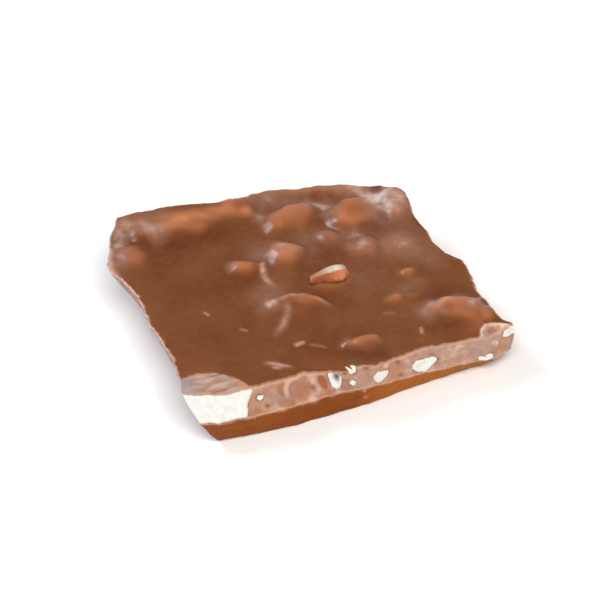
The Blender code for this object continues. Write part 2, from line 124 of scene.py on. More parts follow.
# Outline of the flat bottom, drawn in from the rim where the broken side leans under
FOOT = (
    ((-33.1, -35.3), (-24.1, -36.3), (-14.7, -36.6), (3.9, -35.3), (21.9, -32.5), (37.4, -30.8)),
    ((37.4, -30.8), (37.8, -17.0), (38.8, -5.5), (35.4, 6.0), (34.6, 21.8)),
    ((34.6, 21.8), (31.0, 28.6), (21.0, 32.6), (5.0, 34.6), (-15.0, 34.2), (-30.6, 33.6)),
    ((-30.6, 33.6), (-34.0, 19.0), (-32.6, 5.0), (-33.0, -12.0), (-32.2, -24.0), (-33.1, -35.3)),
)
OUTWARD = np.array(((0.0, -1.0), (1.0, 0.0), (0.0, 1.0), (-1.0, 0.0)))
CORNER_BLEND = 0.08    # share of a side over which its direction turns into the next one's

# Lumps of the top over covered nuts: the place of the summit, how far it runs to each side
# from there, its turn in degrees, its height, the share of the reach that is level, and the
# rise towards its right end and towards its back
Lump = namedtuple("Lump", "x y left right front back turn height level rise tip", defaults=(0.0, 0.0))
LUMPS = [Lump(*row) for row in (
    (-18.0, 34.0, 21.0, 19.0, 8.6, 8.0, -2, 1.8, 0.66),
    (-34.4, 22.6, 5.6, 5.8, 5.0, 5.0, -10, 1.2, 0.25),
    (8.0, 25.2, 9.2, 7.6, 6.8, 5.6, 2, 2.3, 0.35, 0.1, 0.2),
    (2.9, 23.0, 4.6, 4.6, 4.4, 4.0, 0, 1.9, 0.25),
    (22.8, 21.2, 8.2, 8.8, 7.4, 7.0, -4, 2.3, 0.45, 0.0, 0.2),
    (17.8, 19.8, 4.0, 5.0, 4.2, 4.0, 0, 1.8, 0.25),
    (33.9, 22.2, 4.9, 5.2, 7.6, 6.4, 0, 2.8, 0.45, 0.2, 0.5),
    (13.4, 14.6, 5.0, 4.4, 4.4, 3.8, -8, 1.2, 0.25, 0.0, 0.2),
    (20.0, 8.9, 5.4, 4.2, 4.4, 4.0, -8, 0.8, 0.45, 0.1),
    (28.2, 6.6, 6.2, 5.8, 4.0, 4.4, -35, 0.8, 0.40),
    (0.6, 11.6, 5.8, 5.4, 5.0, 6.6, 5, 2.2, 0.40, 0.0, -0.5),
    (-1.0, 7.4, 5.6, 5.4, 9.0, 5.0, 0, 1.0, 0.10, 0.0, 0.2),
    (-11.8, 9.9, 3.6, 5.4, 3.6, 3.8, -12, 1.5, 0.25),
    (-19.5, 12.0, 6.0, 6.5, 4.5, 4.5, -10, 0.25, 0.20),
    (6.4, -2.2, 7.0, 6.6, 4.8, 4.4, 0, 1.0, 0.40, 0.1),
    (-2.0, -10.4, 5.6, 5.8, 6.4, 4.6, -8, 0.6, 0.10, 0.0, 0.3),
    (-8.8, -6.4, 2.0, 2.2, 2.2, 2.0, 0, 0.7, 0.20),
    (6.0, -27.0, 4.2, 5.2, 3.3, 3.2, -8, 1.7, 0.35),
    (2.5, -25.9, 2.4, 2.6, 1.8, 1.8, 0, 1.1, 0.20),
    (26.2, -4.4, 2.8, 2.6, 2.1, 2.0, 0, 1.0, 0.20),
    (19.2, -12.9, 3.8, 3.2, 2.1, 2.1, 8, 0.9, 0.20, 0.2),
    (24.4, -13.4, 2.4, 2.4, 1.8, 1.9, 10, 0.5, 0.20),
    (32.2, -22.2, 7.8, 7.0, 8.6, 5.4, 4, 2.2, 0.30, 0.0, 0.1),
    (37.0, -26.0, 3.2, 3.4, 3.0, 3.2, 0, 1.5, 0.25),
    (-32.4, -25.0, 11.0, 9.5, 7.0, 15.0, -10, 0.7, 0.10),
)]
# Dips at the front edge, as lumps that go down
DIPS = [Lump(*row) for row in (
    (-35.5, -36.0, 11.0, 8.0, 8.5, 8.5, -8, -1.8, 0.1),
    (-11.0, -35.0, 6.0, 6.0, 5.0, 5.0, 0, -0.8, 0.2),
)]
LUMP_SPREAD = 1.3      # reach of the foot of a lump, as a share of its size
LUMP_FLARE = 1.3       # how gently the foot runs out into the level top
BLEND_POWER = 3        # how softly neighbouring lumps run into each other
NUT_SIDES = 5          # flat sides of a covered nut piece
NUT_SIDES_SHOW = 0.6   # how strongly they show through the coat, up to 1
NUT_SIDE_AWAY = 0.92   # how far they lie from the summit, as a share of the lump's size
NUT_SIDE_UNEVEN = 0.3  # how unevenly they are turned
NUT_SIDE_SEEDS = (3.7, 1.9, 2.4)  # what a lump's place and a side's number do to that turn
NUT_SIDE_SHARP = 5     # how sharply they meet
WIDEST_NUT = 10.0      # longer lumps are swellings of the coat, which show no sides

# Folds where the coat hangs over a nut's edge: the line, half width, height and paleness, a painted
# highlight and sheen along the fold
Fold = namedtuple("Fold", "line width height pale")
FOLDS = [Fold(*row) for row in (
    (((-34.0, 33.2), (-24.0, 34.0), (-13.0, 33.0), (-4.5, 31.4)), 3.2, 0.2, 0.0),
    (((-5.0, 35.0), (6.0, 35.4), (17.0, 33.8), (28.0, 30.8)), 2.0, 1.4, 0.15),
    (((-40.8, 15.8), (-41.0, 20.0), (-39.0, 26.5)), 0.9, 0.1, 0.8),
)]
# Thin threads and flakes of the coat, which taper off at both ends; their paleness is a painted highlight
# along them
THREADS = [Fold(*row) for row in (
    (((-4.2, 11.6), (-6.4, 8.9), (-7.4, 4.0), (-5.6, -1.4)), 0.75, 0.36, 0.75),
    (((-9.6, -4.8), (-5.8, -4.4), (-1.9, -5.6), (1.8, -9.0), (4.8, -13.4)), 1.5, 0.90, 0.0),
    (((-9.2, -6.0), (-7.2, -4.9), (-4.4, -4.7), (-1.7, -5.7), (1.2, -8.2)), 0.6, 0.15, 0.45),
    (((-1.0, -7.0), (1.6, -8.6), (4.0, -11.6)), 0.5, 0.12, 0.5),
    (((-5.4, -4.8), (-6.6, -9.7), (-9.3, -13.8), (-14.0, -18.6)), 0.85, 0.32, 0.5),
    (((-19.6, -25.4), (-16.4, -27.2), (-15.0, -28.2), (-12.4, -30.2)), 0.6, 0.32, 1.0),
    (((-18.0, -27.9), (-15.2, -29.3)), 0.4, 0.18, 0.6),
    (((-10.4, -22.4), (-8.4, -21.9), (-6.6, -21.6)), 0.55, 0.24, 0.7),
    (((-7.2, -22.4), (-5.0, -23.7), (-1.6, -26.2)), 0.4, 0.18, 0.3),
    (((13.6, -17.4), (17.6, -18.4)), 0.45, 0.12, 0.2),
    (((20.9, -24.6), (19.7, -28.2)), 0.4, 0.22, 0.6),
    (((21.6, -21.6), (28.2, -18.7), (36.4, -16.9)), 1.6, 0.6, 0.35),
    (((-25.6, -3.0), (-24.6, -5.6)), 0.35, 0.12, 0.6),
    (((-20.0, -11.8), (-17.8, -13.8)), 0.35, 0.12, 0.6),
)]
THREAD_END = 0.35      # share of a thread over which it tapers

# Painted light and shade on the top, with some slow changes of its tone: middle, radius and strength, from
# dark at -1 to light at 1; above 0 they paint sheen, glare and glints, below 0 shade under lumps, in
# hollows and towards the front left
TONES_AND_PAINTED_LIGHT = (
    (-22.0, -20.0, 14.0, -0.25), (4.0, -20.0, 8.0, -0.12), (-9.0, -1.5, 5.5, 0.34),
    (-9.2, -5.8, 1.8, 0.60), (15.0, -3.0, 7.0, 0.15), (31.0, -12.0, 7.0, -0.15),
    (-30.0, 4.0, 12.0, -0.22), (-13.0, 5.0, 4.0, -0.12), (-20.0, 23.5, 4.5, -0.40),
    (-9.0, 25.0, 4.5, -0.40), (-31.5, 27.0, 3.2, -0.50), (-34.0, 32.5, 3.6, 0.45),
    (-28.0, 31.0, 6.5, 0.35), (-26.5, 28.6, 3.4, 0.35), (1.0, 12.6, 3.6, 0.50),
    (33.2, 21.0, 5.6, 0.62), (28.0, 24.0, 3.4, 0.65), (17.0, 23.0, 2.4, 0.40),
    (16.0, 26.6, 2.6, 0.28), (30.2, 27.0, 3.0, 0.45), (26.0, 31.0, 4.0, 0.55),
    (3.0, 33.6, 4.5, 0.35), (20.0, 9.2, 4.4, 0.50), (29.0, 5.6, 4.6, 0.50),
    (34.0, -1.5, 4.0, 0.25), (2.6, -25.0, 1.9, 0.55), (8.6, -25.6, 1.3, 0.35),
    (24.5, -20.2, 3.6, 0.40), (-38.5, 20.5, 3.0, 0.40), (-0.8, -11.6, 3.4, -0.25),
    (6.4, -30.0, 3.2, -0.40), (7.8, 17.1, 3.0, 0.20), (19.4, 13.6, 3.0, 0.25),
    (13.0, 15.2, 2.8, 0.40), (-12.0, -8.1, 3.0, 0.22), (-6.4, -23.2, 5.0, -0.15),
    (4.7, 33.1, 3.4, 0.15), (26.2, 17.2, 2.2, 0.35), (-35.8, 27.8, 2.4, 0.50),
    (-6.6, 13.1, 2.2, 0.35), (26.9, -18.0, 1.9, 0.45), (33.4, -17.8, 2.6, 0.35),
    (34.8, -22.4, 2.4, 0.50), (36.8, -25.4, 1.6, 0.35), (28.2, -22.4, 2.6, -0.35),
    (-12.8, 11.2, 1.7, 0.55), (-0.4, 27.4, 1.9, 0.55), (-5.2, 16.2, 3.0, 0.22),
    (29.8, 12.0, 4.0, 0.22), (27.0, -8.6, 3.4, 0.25), (22.4, -10.6, 2.6, 0.20),
    (13.4, 28.4, 3.6, 0.45), (9.6, 30.2, 3.0, 0.30), (19.0, 27.6, 2.4, 0.30),
    (-35.8, 24.4, 3.0, 0.30), (7.6, 12.6, 2.6, 0.22), (3.4, -31.0, 2.6, -0.35),
    (8.6, -33.0, 2.2, -0.35), (29.0, -21.6, 1.8, -0.25),
)

# The crest of the back ridge, where the coat lies thin, with a painted highlight along it
CREST_HIGHLIGHT = Fold(((-23.0, 31.2), (-14.0, 31.4), (-7.0, 31.0), (-3.4, 30.0)), 2.3, 0.0, 1.35)

# The chipped front right corner, where the bare break reaches over the top
SCOOP_X, SCOOP_Y, SCOOP_RADIUS = 36.9, -34.2, 4.4
SCOOP_DEPTH = 0.7
SCOOP_WALL = (-1.6, -0.2)          # from where to where its wall rises, before its edge
SCOOP_LIP, LIP_WIDTH = 0.35, 0.5   # height and half width of the raised lip round it
SCOOP_HOLLOW = (36.0, -31.2, 1.2)  # its dark place: middle and radius

# Pits and chips of the broken front: distance along X, depth from 0 at the rim over 1 at the
# ridge to 2 at the foot, radius, how far it stands out, and its shade from dark at -1 to pale at 1
Mark = namedtuple("Mark", "x depth radius relief shade")
MARKS = [Mark(*row) for row in (
    (-22.7, 0.74, 0.55, -0.35, -0.8), (-20.2, 0.42, 2.3, -0.15, -0.25),
    (-19.6, 0.97, 0.7, 0.20, 1.0), (-11.6, 0.95, 0.9, 0.15, 0.8),
    (-8.4, 0.80, 0.55, 0.20, 1.0), (-10.2, 0.22, 0.8, 0.20, 0.9),
    (-10.4, 0.52, 0.7, -0.25, -0.6), (-2.3, 0.02, 0.7, -0.60, -1.0),
    (-0.1, 0.10, 0.75, -0.60, -1.0), (2.9, 0.02, 0.8, -0.40, -0.8),
    (7.7, 0.13, 0.6, 0.20, 1.0), (11.0, 0.18, 0.6, -0.30, -0.7),
    (11.0, 0.80, 0.5, -0.25, -0.6), (19.9, 0.33, 0.6, -0.20, -0.5),
    (26.6, 0.20, 0.6, 0.15, 0.7), (27.5, 0.22, 0.5, 0.12, 0.7),
    (36.8, 0.39, 0.6, 0.20, 1.0), (35.8, 0.28, 0.5, 0.15, 0.8),
    (1.1, 1.11, 0.45, 0.20, 1.0), (1.2, 1.50, 0.5, 0.05, 0.5),
)]

# Nut pieces broken through with the sides: the node they stand for, the place round the
# outline (0 to 1 front, 1 to 2 right, 2 to 3 back, 3 to 4 left), the share of the way down
# the upper band, and the outline of the broken face, along the side and up it
SideNut = namedtuple("SideNut", "node place depth outline")
SIDE_NUTS = [SideNut(*row) for row in (
    ("nut_front_1", 0.4345, 0.43, (
        (-1.4, 3.0), (0.5, 2.9), (1.9, 1.4), (1.5, -0.4), (0.5, -2.5), (-0.5, -2.7), (-1.3, -1.2))),
    ("nut_front_2", 0.5735, 0.62, (
        (-2.2, -0.9), (-2.4, 0.3), (-0.6, 1.9), (2.5, 1.4), (1.6, -0.3), (0.4, -1.0), (-0.7, -1.9),
        (-1.9, -1.8))),
    ("nut_front_3", 0.7150, 0.68, (
        (-3.9, 0.9), (-2.3, 2.1), (0.4, 1.8), (3.1, 1.8), (4.0, 0.8), (1.8, -0.9), (-0.4, -2.1),
        (-3.2, -1.1))),
    ("nut_front_4", 0.9095, 0.87, (
        (-2.3, -0.7), (-2.0, 0.6), (-0.6, 0.4), (0.4, 1.1), (2.3, 0.6), (1.8, -0.6), (-0.2, -1.0))),
    ("nut_front_5", 0.9910, 0.14, (
        (-1.7, -1.0), (-1.3, 0.9), (0.4, 1.5), (1.8, 1.1), (1.6, -0.8), (-0.4, -1.5))),
)]
# Small bits of nut in the broken front, too small to be parts of their own
NUT_BITS = [SideNut(*row) for row in (
    ("nut_bit_1", 0.2030, 0.40, ((-1.1, -0.1), (-0.3, 0.7), (1.3, 0.6), (0.5, -0.4), (-0.4, -0.8))),
    ("nut_bit_2", 0.4930, 0.05, (
        (-1.2, -0.9), (-1.1, 1.2), (-0.5, 1.0), (0.0, 0.3), (0.4, 1.0), (1.2, 0.7), (0.9, -0.9))),
    ("nut_bit_3", 0.4830, 0.60, ((-1.0, 0.3), (0.0, 1.0), (0.9, 0.3), (0.5, -0.9), (-0.4, -0.9))),
)]
# Dark hollows in a nut's broken face: how far along and up from its middle, and its half sizes
HOLLOWS = {"nut_front_1": (0.5, 1.2, 0.7, 1.2), "nut_front_4": (-0.5, 0.6, 0.35, 0.35)}
HOLLOW_DEPTH = 0.7

# Nut pieces of the sides that the photograph doesn't show, as uneven ovals: the half sizes
# along the side and up it, and the lean in degrees
HIDDEN_NUT_SEED = 40
HIDDEN_NUT_CORNERS = 9
HIDDEN_NUT_ASKEW = 0.25          # how far a corner is moved round, as a share of their spacing
HIDDEN_NUT_REACH = (0.84, 1.12)  # how far out the corners lie, as a share of the half size
HiddenNut = namedtuple("HiddenNut", "node place depth along up lean")
HIDDEN_NUTS = [HiddenNut(*row) for row in (
    ("nut_right_1", 1.300, 0.66, 3.3, 1.9, 15),
    ("nut_right_2", 1.780, 0.70, 2.5, 1.7, -10),
    ("nut_back_1", 2.330, 0.64, 4.0, 2.2, 10),
    ("nut_back_2", 2.640, 0.66, 2.7, 1.6, -20),
    ("nut_left_1", 3.150, 0.60, 3.4, 1.7, 8),
    ("nut_left_2", 3.500, 0.66, 2.7, 1.5, -12),
)]

# Sockets and faces of all the nut pieces in the sides
SOCKET_DEPTH = 0.9
SOCKET_AT_CORNER = 0.3  # share of it left where two sides meet, so that no socket cuts through
NUT_PROUD = 0.12       # how far a broken nut face stands out of its socket
NUT_TUCK = 0.5         # how far its edge is drawn into the chocolate
NUT_THICKNESS = 1.3
NUT_BACK = 0.7         # size of its hidden back, as a share of its face
NUT_BIT_SKIN = 0.3     # how strongly the brown edge shows on the small bits
NUT_RINGS = 12
NUT_STEPS = 64
NUT_SMOOTHING = np.array((1, 2, 3, 2, 1)) / 9  # how neighbouring steps share their reach
NUDGE = 0.01           # step along and down the side that shows which way it faces

# The nut broken off with the front left corner, as a four-sided patch of the side:
# the places of its left and right edge at the top and at the bottom, and its depths
CORNER_NUT_LEFT = (-0.064, -0.034)
CORNER_NUT_RIGHT = (0.200, 0.142)
CORNER_NUT_DEPTHS = (0.035, 0.985)
CORNER_NUT_WAVE = (0.003, 9.0)  # how far its right edge waves, and through what angle
CORNER_NUT_THICKNESS = 4.0
CORNER_NUT_BACK = 0.3  # how far its back lies towards its inside
CORNER_NUT_COLUMNS = 90
CORNER_NUT_ROWS = 44

# The thin coat over that nut: its back edge, and where along X its two ends change colour, the grey left
# end being a painted sheen
COAT_CREST = ((-42.0, -25.4), (-39.1, -25.8), (-35.1, -25.4), (-31.4, -26.4), (-27.1, -28.8),
              (-25.2, -31.8), (-24.4, -35.0))
COAT_ENDS = {"coat_painted_sheen": (-34.0, -40.0), "coat_end": (-28.5, -25.5)}

# The nut that lies bare on the top
TOP_NUT_MIDDLE = (6.4, -1.6, 12.3)
TOP_NUT_HALF_SIZES = (4.9, 2.5, 1.7)
TOP_NUT_TURN = (8, -9, -5)  # degrees about X, Y and Z
TOP_NUT_TAPER = 0.62   # size of its left end, as a share of the right one
TOP_NUT_CREST = 0.0    # where across it the level upper face ends, of -1 to 1
TOP_NUT_SLOPE = 0.9    # how steeply the coated front falls from there
TOP_NUT_SHIFT = (5, 1, 2)  # where its uneven form starts in the noise

# The shell-shaped mark that a lost nut left in the broken front
SHELL_PLACE = 0.322
SHELL_DEPTH = 0.50
SHELL_RADIUS = 3.4
SHELL_HOLLOW = 0.7     # how deep it is
SHELL_RIPPLE = 0.07    # height of the rings in it
SHELL_PITCH = 0.85     # and their spacing
SHELL_ARC = (-0.62, 0.78)  # direction of its pale arc: along the side and up it

# Orange-brown places of the broken front, the first one the smooth wall beside that mark:
# the place along the front, the share of the way down, the half width and height, and how
# strong the colour is
WarmPlace = namedtuple("WarmPlace", "place depth half_width half_height strength")
WARM_PLACES = [WarmPlace(*row) for row in (
    (0.3985, 0.36, 1.15, 2.1, 1.0),
    (0.322, 0.52, 3.0, 2.6, 0.45),
    (0.345, 0.20, 2.2, 1.3, 0.45),
    (0.280, 0.35, 2.0, 2.2, 0.6),
    (0.270, 0.85, 2.4, 1.6, 0.55),
    (0.400, 0.84, 2.0, 1.4, 0.6),
    (0.170, 0.90, 2.4, 1.2, 0.5),
    (0.458, 0.62, 1.8, 1.8, 0.5),
)]

# Camera, seen from the slab: the photograph's angles and distance, with a lens that is long
# enough for this one piece
CAMERA_TARGET = (0.0, 0.0, 6.0)
CAMERA_AZIMUTH = -20.85
CAMERA_ELEVATION = 38.0
CAMERA_DISTANCE = 717.0
CAMERA_LENS = 180.0


def smoothstep(low, high, value):
    """0 up to the low value, 1 from the high one, and a soft rise between them."""
    share = np.clip((value - low) / (high - low), 0.0, 1.0)
    return share * share * (3 - 2 * share)


def plateau(value, start, full, fade, end):
    """0 up to the start, 1 from full to fade, and 0 again from the end."""
    return smoothstep(start, full, value) * (1 - smoothstep(fade, end, value))


def bell(distance):
    """1 at a distance of 0, falling smoothly on both sides."""
    return np.exp(-distance ** 2)


def noise_at(points, size, seed=0.0):
    """Smooth noise at each point, with features of a size."""
    shift = Vector((seed, 2 * seed, 3 * seed))
    scaled = np.asarray(points, float) / size
    return np.array([noise.noise(Vector(point) + shift) for point in scaled])


def uneven(points, *layers):
    """Layers of noise added up at each point."""
    return sum(layer.depth * noise_at(points, layer.size, layer.seed) for layer in layers)


def cells_at(points, size):
    """Distance to the nearest of scattered middles, as in a broken, grainy face."""
    scaled = np.asarray(points, float) / size
    return np.array([noise.voronoi(Vector(point))[0][0] for point in scaled])


def crag(points):
    """How far the broken side stands out at each point."""
    coarse = noise_at(points, CRAG_SIZE)
    shift = Vector(CRAG_SHIFT)
    fine = np.array([noise.noise(Vector(point) / CRAG_SIZE * CRAG_FINER + shift) for point in points])
    return CRAG_DEPTH * (coarse + 0.5 * fine)


def line_points(line, shares):
    """Points at shares of a broken line's length."""
    points = np.array(line, float)
    steps = np.linalg.norm(np.diff(points[:, :2], axis=0), axis=1)
    travelled = np.concatenate(([0.0], np.cumsum(steps))) / steps.sum()
    columns = [np.interp(shares, travelled, points[:, axis]) for axis in range(points.shape[1])]
    return np.stack(columns, axis=1)


def outline_points(outline, places):
    """Points of a four-sided outline at places from 0 to 4."""
    sides = np.floor(places).astype(int) % 4
    result = np.empty((len(places), len(outline[0][0])))
    for side in range(4):
        here = sides == side
        result[here] = line_points(outline[side], np.mod(places[here], 1.0))
    return result


def outward(places):
    """The direction out of the slab, turning smoothly at the corners."""
    sides = np.floor(places).astype(int) % 4
    shares = np.mod(places, 1.0)
    into_next = np.clip((shares - 1 + CORNER_BLEND) / CORNER_BLEND, 0, 1)[:, None] / 2
    from_last = np.clip((CORNER_BLEND - shares) / CORNER_BLEND, 0, 1)[:, None] / 2
    direction = OUTWARD[sides] * (1 - into_next - from_last)
    direction += OUTWARD[(sides + 1) % 4] * into_next + OUTWARD[sides - 1] * from_last
    return direction / np.linalg.norm(direction, axis=1)[:, None]


def nut_reach_share(along, across, lump):
    """Share of the way from a lump's summit to the flat sides of the nut in it."""
    by_x, by_y, by_side = NUT_SIDE_SEEDS
    total = 0.0
    for side in range(NUT_SIDES):
        askew = NUT_SIDE_UNEVEN * math.sin(by_x * lump.x + by_y * lump.y + by_side * side)
        angle = math.pi + math.tau * (side + (askew if side else 0)) / NUT_SIDES
        facing = (along * math.cos(angle) + across * math.sin(angle)) / NUT_SIDE_AWAY
        total = total + np.clip(facing, 0, None) ** NUT_SIDE_SHARP
    return total ** (1 / NUT_SIDE_SHARP)


def lump_height(x, y, lump, wobble):
    """Height of one lump over the level top."""
    turn = math.radians(lump.turn)
    dx, dy = x - lump.x, y - lump.y
    along = dx * math.cos(turn) + dy * math.sin(turn)
    across = dy * math.cos(turn) - dx * math.sin(turn)
    along = along / np.where(along > 0, lump.right, lump.left)
    across = across / np.where(across > 0, lump.back, lump.front)
    reach = np.hypot(along, across)
    if lump.left < WIDEST_NUT:
        reach += NUT_SIDES_SHOW * (nut_reach_share(along, across, lump) - reach)
    reach = reach + wobble
    height = lump.height + lump.rise * along + lump.tip * across
    return height * (1 - smoothstep(lump.level, LUMP_SPREAD, reach)) ** LUMP_FLARE


def nearest_on_line(x, y, line):
    """Distance in the plan from each point to a broken line, and how far along it that is."""
    nearest = np.full(np.shape(x), 1e9)
    along = np.zeros(np.shape(x))
    for step, ((ax, ay), (bx, by)) in enumerate(zip(line, line[1:])):
        length_squared = (bx - ax) ** 2 + (by - ay) ** 2
        share = np.clip(((x - ax) * (bx - ax) + (y - ay) * (by - ay)) / length_squared, 0, 1)
        distance = np.hypot(x - ax - share * (bx - ax), y - ay - share * (by - ay))
        along = np.where(distance < nearest, (step + share) / (len(line) - 1), along)
        nearest = np.minimum(nearest, distance)
    return nearest, along


def fold_shape(x, y, fold):
    """1 along the middle of a fold, falling to 0 beside it."""
    return bell(nearest_on_line(x, y, fold.line)[0] / fold.width)


def thread_shape(x, y, thread):
    """The same for a thread, which also thins out towards its ends."""
    distance, along = nearest_on_line(x, y, thread.line)
    return plateau(along, 0, THREAD_END, 1 - THREAD_END, 1) * bell(distance / thread.width)


def scoop(x, y):
    """The shallow hollow with a raised lip where the front right corner chipped off."""
    away = np.hypot(x - SCOOP_X, y - SCOOP_Y) - SCOOP_RADIUS
    return SCOOP_LIP * bell(away / LIP_WIDTH) - SCOOP_DEPTH * (1 - smoothstep(*SCOOP_WALL, away))


def top_height(x, y):
    """Height of the poured top over the nuts that it covers, for flat arrays."""
    plan = np.stack([x, y, np.zeros_like(x)], axis=1)
    waves = noise_at(np.stack([x, y, np.full_like(x, WAVE_START * WAVE_LENGTH)], axis=1), WAVE_LENGTH)
    level = TOP_HEIGHT - TOP_FALL * x + TOP_WAVE * waves + scoop(x, y)
    wobble = uneven(plan, LUMP_WOBBLE)
    x = x + uneven(plan, LUMP_DRIFT_X)
    y = y + uneven(plan, LUMP_DRIFT_Y)
    wander = uneven(plan, FOLD_WANDER)
    mounds = sum(np.clip(lump_height(x, y, each, wobble), 0, None) ** BLEND_POWER for each in LUMPS)
    dips = sum(lump_height(x, y, each, 0.0) for each in DIPS)
    folds = sum(each.height * fold_shape(x + wander, y + wander, each) for each in FOLDS)
    folds += sum(each.height * thread_shape(x + wander, y + wander, each) for each in THREADS)
    return level + mounds ** (1 / BLEND_POWER) + dips + uneven(plan, TOP_SWELLS, TOP_FINE) + folds


def rim_points(places):
    """The broken edge round the top."""
    plan = outline_points(RIM, places)
    at_top = np.column_stack([plan, np.full(len(plan), TOP_HEIGHT)])
    plan = plan + outward(places) * (crag(at_top) + uneven(at_top, RIM_CHIPS))[:, None]
    return np.column_stack([plan, top_height(plan[:, 0], plan[:, 1]) - RIM_ROUND])


def ridge_points(places):
    line = outline_points(RIDGE, places)
    line[:, :2] += outward(places) * crag(line)[:, None]
    line[:, 2] += uneven(line, RIDGE_COARSE, RIDGE_FINE)
    return line


def foot_points(places):
    plan = outline_points(FOOT, places)
    at_foot = np.column_stack([plan, np.zeros(len(plan))])
    at_foot[:, :2] += outward(places) * crag(at_foot)[:, None] / 2
    return at_foot


def side_surface(places, depths):
    """The broken side: depth 0 at the rim, 1 at the ridge between its bands, 2 at the foot."""
    rim, ridge, foot = rim_points(places), ridge_points(places), foot_points(places)
    upper = np.minimum(depths, 1)[:, None]
    lower = np.clip(depths - 1, 0, 1)[:, None]
    points = rim + (ridge - rim) * upper + (foot - ridge) * lower
    share = np.where(depths < 1, depths, depths - 1)
    halfway = 4 * np.clip(share * (1 - share), 0, 1)
    swell = crag(points + BAND_SHIFT) * halfway
    points[:, :2] += outward(places) * swell[:, None]
    return points


def side_scale(place, depth):
    """Millimetres along the side for each unit of place, and down it for each of depth."""
    depth = max(depth, SCALE_STEP)
    places = place + SCALE_STEP * np.array((-1, 1, 0, 0))
    depths = depth + SCALE_STEP * np.array((0, 0, -1, 1))
    points = side_surface(places, depths)
    along = np.linalg.norm(points[1] - points[0]) / (2 * SCALE_STEP)
    down = np.linalg.norm(points[3] - points[2]) / (2 * SCALE_STEP)
    return along, down


def offsets(place, depth, places, depths):
    """Millimetres along the side and up it, from one point of it to others."""
    along, down = side_scale(place, depth)
    return (np.mod(places - place + 2, 4) - 2) * along, (depth - depths) * down


def turned_outline(along, up, lean, seed):
    """An uneven oval as a list of corners, for a nut that no photograph shows."""
    draw = random.Random(seed)
    turn = math.radians(lean)
    corners = []
    for step in range(HIDDEN_NUT_CORNERS):
        askew = draw.uniform(-HIDDEN_NUT_ASKEW, HIDDEN_NUT_ASKEW)
        angle = math.tau * (step + askew) / HIDDEN_NUT_CORNERS
        reach = draw.uniform(*HIDDEN_NUT_REACH)
        a, b = along * reach * math.cos(angle), up * reach * math.sin(angle)
        corners.append((a * math.cos(turn) - b * math.sin(turn), a * math.sin(turn) + b * math.cos(turn)))
    return tuple(corners)


def outline_reach(outline, angles):
    """Distance from the middle to a closed outline in each direction."""
    points = np.array(outline, float)
    reach = np.zeros(len(angles))
    directions = np.stack([np.cos(angles), np.sin(angles)], axis=1)
    for start, end in zip(points, np.roll(points, -1, axis=0)):
        edge = end - start
        across = directions[:, 0] * edge[1] - directions[:, 1] * edge[0]
        across = np.where(np.abs(across) < 1e-9, 1e-9, across)
        distance = (start[0] * edge[1] - start[1] * edge[0]) / across
        share = (start[0] * directions[:, 1] - start[1] * directions[:, 0]) / across
        hit = (distance > 0) & (share >= 0) & (share <= 1)
        reach = np.where(hit, np.maximum(reach, distance), reach)
    return reach


def nut_reach(nut, places, depths):
    """How far out of a nut's outline points of the side lie: under 1 is inside."""
    across, up = offsets(nut.place, nut.depth, places, depths)
    reach = outline_reach(nut.outline, np.arctan2(up, across))
    return np.hypot(across, up) / np.maximum(reach, 1e-6)


def all_side_nuts():
    """The nut pieces of the broken sides, the ones on the hidden sides with drawn outlines."""
    hidden = [SideNut(nut.node, nut.place, nut.depth,
                      turned_outline(nut.along, nut.up, nut.lean, HIDDEN_NUT_SEED + index))
              for index, nut in enumerate(HIDDEN_NUTS)]
    return SIDE_NUTS + hidden + NUT_BITS


def corner_nut_edges(down):
    """The places of the corner nut's left and right edge at shares of the way down it."""
    return [top + (bottom - top) * down for top, bottom in (CORNER_NUT_LEFT, CORNER_NUT_RIGHT)]


def corner_nut_shares(places, depths):
    """Where points of the side lie across and down the corner nut's broken face."""
    wrapped = np.mod(places + 2, 4) - 2
    down = (depths - CORNER_NUT_DEPTHS[0]) / (CORNER_NUT_DEPTHS[1] - CORNER_NUT_DEPTHS[0])
    left, right = corner_nut_edges(down)
    return (wrapped - left) / (right - left), down


def shell_offsets(places, depths):
    """How far along the side and up it points lie from the middle of the shell-shaped mark."""
    return offsets(SHELL_PLACE, SHELL_DEPTH, places, depths)


def shell_arc(places, depths):
    """1 along the upper left of the shell-shaped mark's edge, where it shows pale."""
    across, up = shell_offsets(places, depths)
    away = np.hypot(across, up)
    toward = (across * SHELL_ARC[0] + up * SHELL_ARC[1]) / np.maximum(away, 1e-6)
    return plateau(away / SHELL_RADIUS, 0.70, 0.9, 1.0, 1.25) * smoothstep(0.2, 0.75, toward)


def mark_shapes(places, depths):
    """Each mark of the front with its shape, 1 in its middle and 0 outside it."""
    front = np.linspace(0, 1, FRONT_STEPS)
    along = line_points(RIM[0], front)[:, 0]
    for mark in MARKS:
        across, up = offsets(np.interp(mark.x, along, front), mark.depth, places, depths)
        yield mark, bell(np.hypot(across, up) / mark.radius)


